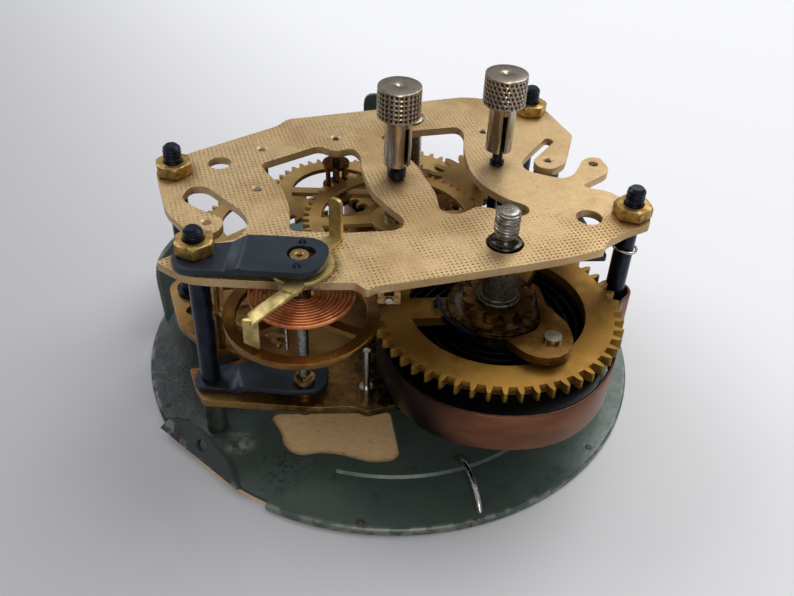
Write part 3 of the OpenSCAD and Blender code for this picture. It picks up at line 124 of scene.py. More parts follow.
class MovementColours(bpy.types.PropertyGroup):
    brass: colour("#C9AE82", "Plate brass", "Pale aged brass of the plates")
    brass_shade: colour("#A58456", "Brass shade", "Browner patches of the plate brass")
    brass_stain: colour("#5E421F", "Brass stain", "Old oil and tarnish on the brass")
    wheel: colour("#B3945C", "Wheel brass", "Cut brass of the wheels")
    # the great wheel brass is brown from age and made darker still as painted shade under the back plate
    great: colour("#8A6729", "Great wheel brass", "Brown old brass of the great wheel")
    nut: colour("#B39458", "Nut brass", "Dull brass of the nuts")
    balance: colour("#84602E", "Balance brass", "Tarnished brass of the balance")
    black: colour("#2F363D", "Blackened steel", "Blued and blackened sheet steel")
    nickel: colour("#B4AA9A", "Nickel", "Knobs and bright steel")
    # the hairspring colour is lightened as a painted reflection of the light on the wire
    copper: colour("#F09A63", "Hairspring", "Copper-coloured alloy of the hairspring")
    spring: colour("#66402A", "Mainspring", "Tempered outer turn of the mainspring")
    dial: colour("#4A564F", "Dial steel", "Grey-green paint of the dial disc")
    card: colour("#DDB47E", "Card", "Card face under the dial disc")
    rust: colour("#3A2418", "Rust", "Rust spots on the dial disc")
    floor: colour("#E4E4E6", "Floor", "Paper that the movement lies on")


def sizes():
    return bpy.context.scene.movement_sizes


def colours():
    return bpy.context.scene.movement_colours


# node helpers


def put(tree, kind, inputs=None, **settings):
    """Adds one node: settings are its properties, inputs are constants or the outputs it takes."""
    node = tree.nodes.new(kind)
    for key, value in settings.items():
        setattr(node, key, value)
    for key, value in (inputs or {}).items():
        socket = node.inputs[key]
        if isinstance(value, bpy.types.NodeSocket):
            tree.links.new(value, socket)
        else:
            socket.default_value = value
    return node


def rgba(value):
    return (*value, 1.0)


def finish_tree(name):
    """An empty material with its shader and output."""
    material = bpy.data.materials.new(name)
    material.use_nodes = True
    tree = material.node_tree
    tree.nodes.clear()
    shader = put(tree, "ShaderNodeBsdfPrincipled")
    put(tree, "ShaderNodeOutputMaterial", {"Surface": shader.outputs["BSDF"]})
    return material, tree, shader


def place(tree):
    return put(tree, "ShaderNodeTexCoord").outputs["Object"]


def noise(tree, vector, size_mm, detail=3.0, rough=0.55, stretch=None):
    """Noise whose blotches are about size_mm across; stretch scales the axes."""
    if stretch:
        vector = put(tree, "ShaderNodeMapping", {"Vector": vector, "Scale": stretch}).outputs["Vector"]
    return put(tree, "ShaderNodeTexNoise", {
        "Vector": vector, "Scale": 1 / (size_mm * MM), "Detail": detail, "Roughness": rough}).outputs["Fac"]


def band(tree, value, low, high, out_low=0.0, out_high=1.0):
    """Smoothly maps low..high to out_low..out_high."""
    return put(tree, "ShaderNodeMapRange", {
        "Value": value, "From Min": low, "From Max": high, "To Min": out_low, "To Max": out_high},
        interpolation_type="SMOOTHSTEP").outputs["Result"]


def sums(tree, kind, first, second):
    return put(tree, "ShaderNodeMath", {0: first, 1: second}, operation=kind).outputs[0]


def blend(tree, data_type, sockets, values):
    """A Mix node; the sockets of its factor and inputs depend on what it mixes."""
    node = put(tree, "ShaderNodeMix", data_type=data_type)
    for number, value in zip(sockets, values):
        if isinstance(value, bpy.types.NodeSocket):
            tree.links.new(value, node.inputs[number])
        else:
            node.inputs[number].default_value = value if isinstance(value, (int, float)) else rgba(value)
    return node


def blend_colours(tree, factor, first, second):
    return blend(tree, "RGBA", (0, 6, 7), (factor, first, second)).outputs[2]


def blend_value(tree, factor, first, second):
    return blend(tree, "FLOAT", (0, 2, 3), (factor, first, second)).outputs[0]


def ring_mask(tree, vector, centre, inner_mm, outer_mm):
    """1 within inner_mm of an upright axis, 0 beyond outer_mm."""
    flat = put(tree, "ShaderNodeVectorMath", {0: vector, 1: (1, 1, 0)}, operation="MULTIPLY").outputs[0]
    gap = put(tree, "ShaderNodeVectorMath", {0: flat, 1: (centre[0], centre[1], 0)},
              operation="DISTANCE").outputs["Value"]
    return band(tree, gap, inner_mm * MM, outer_mm * MM, 1.0, 0.0)


def upward(tree):
    """1 on a face that points up, 0 on an upright one."""
    normal = put(tree, "ShaderNodeNewGeometry").outputs["True Normal"]
    return put(tree, "ShaderNodeSeparateXYZ", {"Vector": normal}).outputs["Z"]


def relief(tree, shader, height, depth_mm):
    bump = put(tree, "ShaderNodeBump", {"Height": height, "Strength": 1.0, "Distance": depth_mm * MM})
    tree.links.new(bump.outputs["Normal"], shader.inputs["Normal"])


# finishes


def rolled_brass(name, base, second, dots=False, oil=(), dirt=0.5, gloss_low=0.36, gloss_high=0.5):
    """Rolled sheet brass, stamped and aged: an even tan with fine brown grain, dark specks, a soft sheen."""
    c = colours()
    material, tree, shader = finish_tree(name)
    where = place(tree)
    patches = band(tree, noise(tree, where, 8, 4), 0.42, 0.68, 0.0, 0.55)
    tint = blend_colours(tree, patches, base, second)
    fine = band(tree, noise(tree, where, 0.35, 4, 0.7), 0.4, 0.75, 0.0, 0.5)
    tint = blend_colours(tree, fine, tint, second)
    clouds = band(tree, noise(tree, where, 1.5, 6, 0.7), 0.58, 0.76, 0.0, 0.2 + 0.5 * dirt)
    tint = blend_colours(tree, clouds, tint, c.brass_stain)
    specks = band(tree, noise(tree, where, 0.2, 3, 0.6), 0.67, 0.74, 0.0, 0.4 + 0.4 * dirt)
    tint = blend_colours(tree, specks, tint, linear("#3B2812"))
    grain = noise(tree, where, 0.12, 2)
    gloss = band(tree, noise(tree, where, 1.8, 4), 0.35, 0.7, gloss_low, gloss_high)
    height = grain
    if dots:
        # the dots are punched in rows along the front edge and leave out the plate's right rear
        grid = put(tree, "ShaderNodeMapping", {
            "Vector": where, "Rotation": (0, 0, math.radians(-18.9)), "Scale": (1, 1, 0)}).outputs["Vector"]
        cell = put(tree, "ShaderNodeTexVoronoi", {
            "Vector": grid, "Scale": 1 / (sizes().dot_spacing * MM), "Randomness": 0.06},
            voronoi_dimensions="2D").outputs["Distance"]
        radius = sizes().dot_size / sizes().dot_spacing
        dot = band(tree, cell, radius * 0.7, radius * 1.5, 1.0, 0.0)
        split = put(tree, "ShaderNodeSeparateXYZ", {"Vector": where})
        right = band(tree, split.outputs["X"], 10 * MM, 14 * MM)
        rear = band(tree, split.outputs["Y"], -9 * MM, -4 * MM)
        keep = sums(tree, "SUBTRACT", 1.0, sums(tree, "MULTIPLY", right, rear))
        worn = band(tree, noise(tree, where, 3.5, 3), 0.35, 0.6, 0.15, 1.0)
        dot = sums(tree, "MULTIPLY", sums(tree, "MULTIPLY", dot, keep), worn)
        dot = sums(tree, "MULTIPLY", dot, band(tree, upward(tree), 0.8, 0.95))
        tint = blend_colours(tree, sums(tree, "MULTIPLY", dot, 0.9), tint, linear("#4A3216"))
        height = sums(tree, "SUBTRACT", grain, sums(tree, "MULTIPLY", dot, 2.5))
    # rings of old oil; on the front plate the nearly black ring beside the mainspring is painted shadow
    for centre, inner, outer, strength, code in oil:
        mask = ring_mask(tree, where, centre, inner, outer)
        blotches = band(tree, noise(tree, where, 0.9, 5, 0.65), 0.3, 0.62, 0.3, strength)
        mask = sums(tree, "MULTIPLY", mask, blotches)
        tint = blend_colours(tree, mask, tint, linear(code))
        gloss = blend_value(tree, mask, gloss, 0.26)
    tree.links.new(tint, shader.inputs["Base Color"])
    tree.links.new(gloss, shader.inputs["Roughness"])
    shader.inputs["Metallic"].default_value = 0.86
    relief(tree, shader, height, 0.012)
    return material


def plain_metal(name, base, second, rough_low, rough_high, size_mm=1.2, stretch=None, metallic=1.0,
                relief_mm=0.004, specks=0.0, speck_tone="#20150C"):
    """A metal whose tone and gloss drift between two values; stretch draws the pattern into brush lines."""
    material, tree, shader = finish_tree(name)
    where = place(tree)
    drift = noise(tree, where, size_mm, 4, 0.6, stretch)
    tint = blend_colours(tree, band(tree, drift, 0.38, 0.66), base, second)
    if specks:
        spots = band(tree, noise(tree, where, 0.45, 3, 0.6), 0.6, 0.72, 0.0, specks)
        tint = blend_colours(tree, spots, tint, linear(speck_tone))
    tree.links.new(tint, shader.inputs["Base Color"])
    tree.links.new(band(tree, drift, 0.3, 0.75, rough_low, rough_high), shader.inputs["Roughness"])
    shader.inputs["Metallic"].default_value = metallic
    relief(tree, shader, noise(tree, where, size_mm / 6, 3, 0.5, stretch), relief_mm)
    return material


def knob_metal(name):
    """Turned and knurled nickel: fine turning lines up close, and the knurl's pits darkened by their depth."""
    c = colours()
    material, tree, shader = finish_tree(name)
    where = place(tree)
    lines = noise(tree, where, 0.6, 4, 0.6, (1, 1, 0.12))
    tint = blend_colours(tree, band(tree, lines, 0.38, 0.66), c.nickel, linear("#8D8171"))
    spots = band(tree, noise(tree, where, 0.4, 3, 0.6), 0.62, 0.72, 0.0, 0.3)
    tint = blend_colours(tree, spots, tint, linear("#4A3A28"))
    # the knurl's pits are darkened by their depth
    pits = put(tree, "ShaderNodeAttribute", attribute_name="pit").outputs["Fac"]
    tint = blend_colours(tree, band(tree, pits, 0.1, 0.6, 0.0, 0.92), tint, linear("#1A140D"))
    tree.links.new(tint, shader.inputs["Base Color"])
    tree.links.new(band(tree, lines, 0.3, 0.75, 0.2, 0.34), shader.inputs["Roughness"])
    shader.inputs["Metallic"].default_value = 1.0
    relief(tree, shader, noise(tree, where, 0.1, 3, 0.5, (1, 1, 0.12)), 0.004)
    return material


def painted_dial(name):
    """Stove-enamelled steel sheet: grey-green, faded in clouds, scratched, with dark rust spots, painted shade
    and a painted highlight.
    """
    c = colours()
    material, tree, shader = finish_tree(name)
    where = place(tree)
    fade = band(tree, noise(tree, where, 9, 5, 0.6), 0.38, 0.68)
    tint = blend_colours(tree, fade, c.dial, linear("#4A5752"))
    grime = band(tree, noise(tree, where, 2.5, 5, 0.7), 0.5, 0.75, 0.0, 0.55)
    tint = blend_colours(tree, grime, tint, linear("#232A28"))
    # painted shade: the disc's left, under the plate, darkened in blotches
    painted_shade_left = sums(tree, "MULTIPLY", ring_mask(tree, where, (-27.5 * MM, -9 * MM), 7, 13),
                band(tree, noise(tree, where, 2, 4), 0.3, 0.6, 0.6, 0.95))
    tint = blend_colours(tree, painted_shade_left, tint, linear("#171B1B"))
    scratch = band(tree, noise(tree, where, 0.9, 4, 0.7, (0.25, 1, 1)), 0.66, 0.72, 0.0, 0.3)
    tint = blend_colours(tree, scratch, tint, linear("#8A948C"))
    rust = band(tree, noise(tree, where, 1.1, 4, 0.75), 0.69, 0.735)
    pits = band(tree, noise(tree, where, 0.45, 3, 0.65), 0.54, 0.64, 0.0, 0.85)
    field = ring_mask(tree, where, (-12 * MM, -24.3 * MM), 0.5, 5.5)
    tint = blend_colours(tree, sums(tree, "MULTIPLY", pits, field), tint, linear("#161B1A"))
    # partly a pale smear and partly a painted highlight on the disc beside the flap
    smear_and_highlight = sums(tree, "MULTIPLY", ring_mask(tree, where, (-17.4 * MM, -20.2 * MM), 0.3, 2.8),
                 band(tree, noise(tree, where, 1.4, 5, 0.7), 0.4, 0.7))
    tint = blend_colours(tree, smear_and_highlight, tint, linear("#A7ACA0"))
    # painted shade: steep faces of the bent-up flap at the left front are darkened
    steep = band(tree, upward(tree), 0.5, 0.9, 1.0, 0.0)
    bent = sums(tree, "MULTIPLY", steep, ring_mask(tree, where, (-19.5 * MM, -23.5 * MM), 8, 9))
    tint = blend_colours(tree, sums(tree, "MULTIPLY", bent, 0.7), tint, linear("#24282A"))
    for x, y, size in ((10.4, -30.1, 1.0), (17.6, -25.4, 0.9), (24.7, -18.4, 0.8), (-2.2, -31.0, 1.1),
                       (-24.2, -17.2, 1.1), (-24.5, -20.2, 0.8), (-27, -14.5, 0.7)):
        spot = ring_mask(tree, where, (x * MM, y * MM), 0.25 * size, 0.75 * size)
        spot = sums(tree, "MULTIPLY", spot, band(tree, noise(tree, where, 0.5, 3), 0.3, 0.55))
        rust = sums(tree, "MAXIMUM", rust, spot)
    tint = blend_colours(tree, rust, tint, c.rust)
    edge = ring_mask(tree, where, (0, 0), 31.35, 31.9)
    worn = band(tree, noise(tree, where, 1.5, 4), 0.45, 0.6)
    bare = sums(tree, "MULTIPLY", sums(tree, "SUBTRACT", 1.0, edge), worn)
    tint = blend_colours(tree, sums(tree, "MULTIPLY", bare, 0.6), tint, linear("#8B8F84"))
    tree.links.new(tint, shader.inputs["Base Color"])
    gloss = blend_value(tree, rust, band(tree, noise(tree, where, 3, 3), 0.3, 0.7, 0.28, 0.42), 0.85)
    tree.links.new(gloss, shader.inputs["Roughness"])
    shader.inputs["Metallic"].default_value = 0.25
    height = sums(tree, "SUBTRACT", noise(tree, where, 0.6, 3), sums(tree, "MULTIPLY", rust, 0.8))
    relief(tree, shader, height, 0.03)
    return material


def pressed_card(name):
    """Pressed wood-pulp card: warm tan, matte, with short fibres and a few brown marks."""
    c = colours()
    material, tree, shader = finish_tree(name)
    where = place(tree)
    fibre = noise(tree, where, 0.3, 4, 0.6, (0.35, 1, 1))
    tint = blend_colours(tree, band(tree, fibre, 0.35, 0.7), c.card, linear("#E6C597"))
    mark = band(tree, noise(tree, where, 0.9, 4), 0.64, 0.74, 0.0, 0.5)
    tint = blend_colours(tree, mark, tint, linear("#97734A"))
    tree.links.new(tint, shader.inputs["Base Color"])
    shader.inputs["Roughness"].default_value = 0.9
    relief(tree, shader, fibre, 0.03)
    return material


def old_oil(name):
    """Thickened clock oil: dark brown, glassy, seen as a glossy skin on the metal."""
    material, tree, shader = finish_tree(name)
    where = place(tree)
    clouds = band(tree, noise(tree, where, 1.2, 4), 0.4, 0.65)
    tint = blend_colours(tree, clouds, linear("#140B05"), linear("#553312"))
    tree.links.new(tint, shader.inputs["Base Color"])
    shader.inputs["Roughness"].default_value = 0.24
    shader.inputs["Coat Weight"].default_value = 0.3
    relief(tree, shader, noise(tree, where, 0.7, 3), 0.03)
    return material


def mainspring_steel(name, centre, start_mm, end_mm):
    """Tempered spring strip: violet-brown where the outer turn is bare, black and oily further in, with
    painted shade darkening part of the outer turn under the front plate.
    """
    c = colours()
    material, tree, shader = finish_tree(name)
    where = place(tree)
    inner = ring_mask(tree, where, centre, start_mm, end_mm)
    streak = noise(tree, where, 7, 4, 0.55, (1, 1, 2.5))
    bare = blend_colours(tree, band(tree, streak, 0.35, 0.7), c.spring, linear("#7E543A"))
    rim = band(tree, upward(tree), 0.5, 0.9)
    bare = blend_colours(tree, sums(tree, "MULTIPLY", rim, 0.75), bare, linear("#2B211E"))
    # painted shade: part of the outer turn lying in the front plate's shade is painted nearly black
    painted_plate_shade = ring_mask(tree, where, (2 * MM, -22 * MM), 4, 10)
    bare = blend_colours(tree, sums(tree, "MULTIPLY", painted_plate_shade, 0.9), bare, linear("#100E0F"))
    tint = blend_colours(tree, inner, bare, linear("#0C0D10"))
    tree.links.new(tint, shader.inputs["Base Color"])
    gloss = blend_value(tree, inner, band(tree, streak, 0.3, 0.7, 0.3, 0.42), 0.5)
    tree.links.new(gloss, shader.inputs["Roughness"])
    shader.inputs["Metallic"].default_value = 0.9
    relief(tree, shader, noise(tree, where, 0.25, 3), 0.006)
    return material


FINISHES = {}


def brass_finishes(c):
    """Sheet brass: name, tones, and the rings of old oil, some deepened as painted shadow, as axis, inner and
    outer mm, strength and colour.
    """
    return {
        # pale and almost clean, dull sheen, brown oil rings round pillars and pivots
        "back": ("aged_rolled_brass_back_plate", c.brass, c.brass_shade, dict(
            dots=True, dirt=0.2, gloss_low=0.44, gloss_high=0.56, oil=(
                (LEFT_FRONT_PILLAR, 2.0, 3.6, 0.8, "#6B4A22"), (LEFT_REAR_PILLAR, 1.6, 3.4, 0.7, "#6B4A22"),
                (RIGHT_REAR_PILLAR, 1.6, 3.4, 0.6, "#7A5A2C"), (RIGHT_PILLAR, 1.6, 3.6, 0.7, "#6B4A22"),
                ((0, 0), 0.8, 3.0, 0.6, "#6F5028"), (SETTING, 0.8, 2.8, 0.5, "#7A5A2E"),
                (BALANCE, 3.2, 5.0, 0.9, "#3A240E")))),
        # darker and wetter than the back plate; beside the mainspring old oil is deepened to nearly black as
        # painted shadow
        "front": ("aged_rolled_brass_front_plate", "#A3834F", "#6E4F25", dict(dirt=1.0, oil=(
            ((-0.021, -0.012), 4, 12, 0.9, "#6E3B14"), (BALANCE, 2.0, 9.5, 0.9, "#53320F"),
            ((0, 0), 2, 9, 0.8, "#33210F"), (GREAT, 13, 19, 1.0, "#0E0B08"),
            (GREAT, 13, 19, 1.0, "#0E0B08")))),
        # brown-gold and even, darker partly from old oil and partly as painted shade under the back plate,
        # with a dark ring where the ratchet throws its oil
        "great": ("old_brass_great_wheel", c.great, "#6E4E1F", dict(dirt=0.25, oil=(
            (GREAT, 5.9, 7.2, 1.0, "#1C1109"), ((-0.0035, -0.0135), 1, 6, 0.9, "#2A1A0B")))),
        # cut wheels: warm gold, a few brown clouds
        "wheel": ("aged_brass_wheels", c.wheel, "#8E6E3A", dict(dirt=0.5)),
        # the inner wheels are browned all over by oil
        "dark wheel": ("oiled_brass_inner_wheels", "#8A6A34", "#5A3E1B", dict(dirt=1.0)),
        # wet dark brown, glossier than any other brass
        "ratchet": ("oiled_brass_ratchet_and_click", "#7C5A28", "#4E3616", dict(
            dirt=1.0, gloss_low=0.24, gloss_high=0.36, oil=(
                (GREAT, 2.6, 4.4, 1.0, "#3A230E"), ((0.0158, -0.0158), 1.0, 2.8, 1.0, "#1B0F06"),
                ((0.0129, -0.0192), 0.6, 2.6, 1.0, "#3A2109")))),
    }


def metal_finishes(c):
    """Plain metals: name, two tones, lowest and highest roughness, drift in mm, and what else differs."""
    brushed = (1, 1, 3)
    return {
        # reddish brown and greasy
        "lantern": ("oiled_brass_lantern_pinion", "#6B401D", "#3A2210", 0.22, 0.36, 0.8,
                    dict(metallic=0.9, specks=0.4)),
        # greenish dull yellow, almost without reflections
        "regulator": ("dull_brass_regulator", "#C3AE74", "#97824C", 0.34, 0.48, 1.6,
                      dict(metallic=0.85, specks=0.3)),
        # worn yellow corners with dark brown dirt
        "nut": ("turned_brass_nuts", c.nut, "#8A6A35", 0.36, 0.5, 0.9,
                dict(metallic=0.92, specks=0.5, speck_tone="#2A1A0A")),
        # small turned faces that glint
        "bush": ("turned_brass_bushes", "#AA8A5E", "#76582F", 0.26, 0.4, 0.7, dict(metallic=0.95, specks=0.3)),
        # red-brown tarnish with a soft shine
        "balance": ("tarnished_brass_balance", c.balance, "#664823", 0.24, 0.4, 3.0,
                    dict(metallic=0.92, specks=0.25)),
        # blue-black with a broad pale sheen
        "black": ("blued_sheet_steel", c.black, "#363E46", 0.34, 0.42, 5.0,
                  dict(metallic=0.8, relief_mm=0.003)),
        # nearly black, blue where the light grazes it
        "stud": ("oil_blackened_steel_studs", "#191E29", "#242B39", 0.26, 0.36, 1.6,
                 dict(metallic=0.8, relief_mm=0.003)),
        # grey turned steel with upright light streaks
        "steel": ("turned_steel_arbors", "#A09D95", "#6E6A62", 0.24, 0.4, 0.8,
                  dict(stretch=brushed, specks=0.2)),
        # rough scale that sparkles in small dots
        "sleeve": ("rough_turned_steel_sleeve", "#6E6A5E", "#403C33", 0.26, 0.46, 0.45,
                   dict(metallic=0.95, relief_mm=0.05, specks=0.25)),
        # dark polished steel with sharp reflections
        "neck": ("polished_steel_winding_neck", "#4A463F", "#26221D", 0.14, 0.28, 0.9,
                 dict(stretch=brushed, specks=0.2)),
        # white glints on wire and rivet heads
        "bright": ("bright_steel_wire_and_rivets", "#C6C4BE", "#94918A", 0.14, 0.28, 0.5, dict(specks=0.15)),
        # dull grey-green zinc
        "foot": ("zinc_plated_feet", "#727970", "#50564F", 0.3, 0.45, 1.4, dict(metallic=0.8)),
        # orange wire, less mirror-like than steel so that each turn shows; its pale, bright tone is partly a
        # painted reflection
        "copper": ("drawn_copper_alloy_hairspring", c.copper, "#BC6C42", 0.3, 0.42, 1.5, dict(metallic=0.7)),
    }


def tone(value):
    """A colour property as it is, a hex code as linear values."""
    return linear(value) if isinstance(value, str) else value


def made(key):
    c = colours()
    if key in brass_finishes(c):
        name, base, second, extras = brass_finishes(c)[key]
        return rolled_brass(name, tone(base), tone(second), **extras)
    if key in metal_finishes(c):
        name, base, second, rough_low, rough_high, drift_mm, extras = metal_finishes(c)[key]
        return plain_metal(name, tone(base), tone(second), rough_low, rough_high, drift_mm, **extras)
    if key == "time spring":
        return mainspring_steel("tempered_steel_time_mainspring", GREAT, 14.1, 14.8)
    if key == "alarm spring":
        return mainspring_steel("tempered_steel_alarm_mainspring", ALARM, 7.6, 8.2)
    makers = {"nickel": (knob_metal, "turned_nickelled_brass_knobs"),
              "dial": (painted_dial, "enamelled_steel_dial_disc"),
              "card": (pressed_card, "pressed_card_dial_face"),
              "oil": (old_oil, "thickened_clock_oil")}
    maker, name = makers[key]
    return maker(name)


def finish(key):
    """Makes each finish once, when a piece first asks for it."""
    if key not in FINISHES:
        FINISHES[key] = made(key)
    return FINISHES[key]


# pieces


def link(name, mesh):
    piece = bpy.data.objects.new(name, mesh)
    bpy.context.scene.collection.objects.link(piece)
    return piece


def settle(piece, key, body, *nodes):
    """Gives a finished piece its material, its body and the nodes it stands for."""
    piece.data.materials.clear()
    piece.data.materials.append(finish(key))
    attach(piece, body)
    if nodes:
        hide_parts(*nodes)


def baked(piece):
    """Turns a piece with modifiers into a plain mesh under the same name."""
    depsgraph = bpy.context.evaluated_depsgraph_get()
    mesh = bpy.data.meshes.new_from_object(piece.evaluated_get(depsgraph), depsgraph=depsgraph)
    name = piece.name
    bpy.data.objects.remove(piece)
    return link(name, mesh)


def flatten(piece):
    """Keeps large faces flat beside their rounded edges."""
    weighted = piece.modifiers.new("normals", "WEIGHTED_NORMAL")
    weighted.mode = "FACE_AREA"
    weighted.weight = 100
    weighted.keep_sharp = True


def merged(node):
    """A copy of a solid's mesh with its doubled corners merged, as a mesh and an open bmesh."""
    mesh = NODES[node].data.copy()
    form = bmesh.new()
    form.from_mesh(mesh)
    bmesh.ops.remove_doubles(form, verts=form.verts, dist=MERGE_DISTANCE)
    return mesh, form


def rounded(name, mesh, form, width_mm, angle):
    """Closes a bmesh into a piece whose edges are rounded."""
    bmesh.ops.dissolve_limit(form, angle_limit=math.radians(0.6), verts=form.verts, edges=form.edges)
    form.to_mesh(mesh)
    form.free()
    mesh.materials.clear()
    piece = link(name, mesh)
    for face in mesh.polygons:
        face.use_smooth = True
    bevel = piece.modifiers.new("edge", "BEVEL")
    bevel.width = width_mm * MM
    bevel.segments = 2
    bevel.limit_method = "ANGLE"
    bevel.angle_limit = math.radians(angle)
    flatten(piece)
    return baked(piece)


def softened(node, key, width_mm):
    """A copy of a solid with its edges rounded, which then stands for it."""
    mesh, form = merged(node)
    piece = rounded(node + "_finished", mesh, form, width_mm, 38)
    settle(piece, key, BODY_OF[node], node)


def surface(name, rows, closed_rows=True, caps=(False, False)):
    """A mesh from rings of points; each ring has the same number of points."""
    count = len(rows[0])
    points = [p for row in rows for p in row]
    faces = []
    for i in range(len(rows) - 1):
        for j in range(count if closed_rows else count - 1):
            a, b = i * count + j, i * count + (j + 1) % count
            faces.append((a, b, b + count, a + count))
    if caps[0]:
        faces.append(tuple(range(count - 1, -1, -1)))
    if caps[1]:
        faces.append(tuple(range((len(rows) - 1) * count, len(rows) * count)))
    mesh = bpy.data.meshes.new(name)
    mesh.from_pydata([tuple(Vector(p) * MM) for p in points], [], faces)
    mesh.update()
    return mesh


def turned(name, centre, profile, steps=64):
    """A turned piece: profile lists (radius, height) in mm from the bottom up."""
    rows = [[(centre[0] / MM + r * math.cos(a), centre[1] / MM + r * math.sin(a), z)
             for a in (2 * math.pi * k / steps for k in range(steps))] for r, z in profile]
    return link(name, surface(name, rows, caps=(True, True)))


def shade(piece, angle=35):
    """Smooth shading with the sharp edges kept."""
    for face in piece.data.polygons:
        face.use_smooth = True
    piece.data.set_sharp_from_angle(angle=math.radians(angle))


# Geometry Nodes


def tree_with(name, inputs):
    """A geometry tree with named inputs; returns the tree, its inputs and its output node."""
    tree = bpy.data.node_groups.new(name, "GeometryNodeTree")
    tree.interface.new_socket("Geometry", in_out="INPUT", socket_type="NodeSocketGeometry")
    for label, kind in inputs.items():
        tree.interface.new_socket(label, in_out="INPUT", socket_type=kind)
    tree.interface.new_socket("Geometry", in_out="OUTPUT", socket_type="NodeSocketGeometry")
    return tree, put(tree, "NodeGroupInput"), put(tree, "NodeGroupOutput")


def close_tree(tree, output, geometry, source):
    """Ends a tree with real geometry that carries its material."""
    real = put(tree, "GeometryNodeRealizeInstances", {"Geometry": geometry})
    coated = put(tree, "GeometryNodeSetMaterial", {"Geometry": real.outputs[0], "Material": source})
    tree.links.new(coated.outputs[0], output.inputs[0])


def thread_tree():
    """A screw thread: a ridge wound on an upright axis."""
    tree, given, output = tree_with("screw_thread", {
        "Radius": "NodeSocketFloat", "Pitch": "NodeSocketFloat", "Length": "NodeSocketFloat",
        "Depth": "NodeSocketFloat", "Finish": "NodeSocketMaterial"})
    turns = sums(tree, "DIVIDE", given.outputs["Length"], given.outputs["Pitch"])
    path = put(tree, "GeometryNodeCurveSpiral", {
        "Resolution": 28, "Rotations": turns, "Start Radius": given.outputs["Radius"],
        "End Radius": given.outputs["Radius"], "Height": given.outputs["Length"]})
    ridge = put(tree, "GeometryNodeCurvePrimitiveCircle", {"Resolution": 6, "Radius": given.outputs["Depth"]})
    wound = put(tree, "GeometryNodeCurveToMesh", {
        "Curve": path.outputs[0], "Profile Curve": ridge.outputs[0], "Fill Caps": True})
    on_points = put(tree, "GeometryNodeInstanceOnPoints", {
        "Points": given.outputs["Geometry"], "Instance": wound.outputs[0]})
    close_tree(tree, output, on_points.outputs[0], given.outputs["Finish"])
    return tree


def nut_tree():
    """Hexagon nuts: one chamfered nut on each point, turned by the point's own angle."""
    tree, given, output = tree_with("hexagon_nuts", {
        "Nut": "NodeSocketObject", "Finish": "NodeSocketMaterial"})
    nut = put(tree, "GeometryNodeObjectInfo", {"Object": given.outputs["Nut"]})
    turn = put(tree, "GeometryNodeInputNamedAttribute", {"Name": "turn"}, data_type="FLOAT")
    spin = put(tree, "ShaderNodeCombineXYZ", {"Z": turn.outputs["Attribute"]})
    placed = put(tree, "GeometryNodeInstanceOnPoints", {
        "Points": given.outputs["Geometry"], "Instance": nut.outputs["Geometry"],
        "Rotation": spin.outputs[0]})
    close_tree(tree, output, placed.outputs[0], given.outputs["Finish"])
    return tree


def strip_tree():
    """A spring strip: a flat profile drawn along a coiled path."""
    tree, given, output = tree_with("spring_strip", {
        "Thickness": "NodeSocketFloat", "Width": "NodeSocketFloat", "Finish": "NodeSocketMaterial"})
    shape = put(tree, "GeometryNodeCurvePrimitiveQuadrilateral", {
        "Width": given.outputs["Thickness"], "Height": given.outputs["Width"]})
    soft = put(tree, "GeometryNodeFilletCurve", {
        "Curve": shape.outputs[0], "Count": 2,
        "Radius": sums(tree, "MULTIPLY", given.outputs["Thickness"], 0.3)}, mode="POLY")
    path = put(tree, "GeometryNodeMeshToCurve", {"Mesh": given.outputs["Geometry"]})
    upright = put(tree, "GeometryNodeSetCurveNormal", {"Curve": path.outputs[0]}, mode="Z_UP")
    drawn = put(tree, "GeometryNodeCurveToMesh", {
        "Curve": upright.outputs[0], "Profile Curve": soft.outputs[0], "Fill Caps": True})
    close_tree(tree, output, drawn.outputs[0], given.outputs["Finish"])
    return tree


def grown(name, points, tree, inputs, edges=(), turns=None):
    """Runs a tree on a few points and keeps the result as a plain mesh."""
    mesh = bpy.data.meshes.new(name)
    mesh.from_pydata([tuple(p) for p in points], list(edges), [])
    if turns:
        angles = [math.radians(turn) for turn in turns]
        mesh.attributes.new("turn", "FLOAT", "POINT").data.foreach_set("value", angles)
    piece = link(name, mesh)
    modifier = piece.modifiers.new("tree", "NODES")
    modifier.node_group = tree
    labels = {item.name: item.identifier for item in tree.interface.items_tree
              if item.item_type == "SOCKET" and item.in_out == "INPUT"}
    for label, value in inputs.items():
        modifier[labels[label]] = value
    return baked(piece)


# operators


class MOVEMENT_OT_camera(bpy.types.Operator):
    """Sets the camera at the photograph's angle"""
    bl_idname = "movement.camera"
    bl_label = "Camera"

    def execute(self, context):
        pitch, roll = math.radians(38.573), math.radians(2.563)
        ahead = Vector((0, math.cos(pitch), -math.sin(pitch)))
        right = Vector((1, 0, 0))
        up = Vector((0, math.sin(pitch), math.cos(pitch)))
        side = math.cos(roll) * right + math.sin(roll) * up
        top = -math.sin(roll) * right + math.cos(roll) * up
        data = bpy.data.cameras.new("camera")
        data.sensor_width = 36
        data.lens = 899.7 / 794 * 36
        data.clip_start = 0.005
        eye = bpy.data.objects.new("camera", data)
        context.scene.collection.objects.link(eye)
        turn = Matrix((side, top, -ahead)).transposed().to_4x4()
        eye.matrix_world = Matrix.Translation(Vector((0.729, -93.284, 82.662)) * MM) @ turn
        context.scene.camera = eye
        return {"FINISHED"}


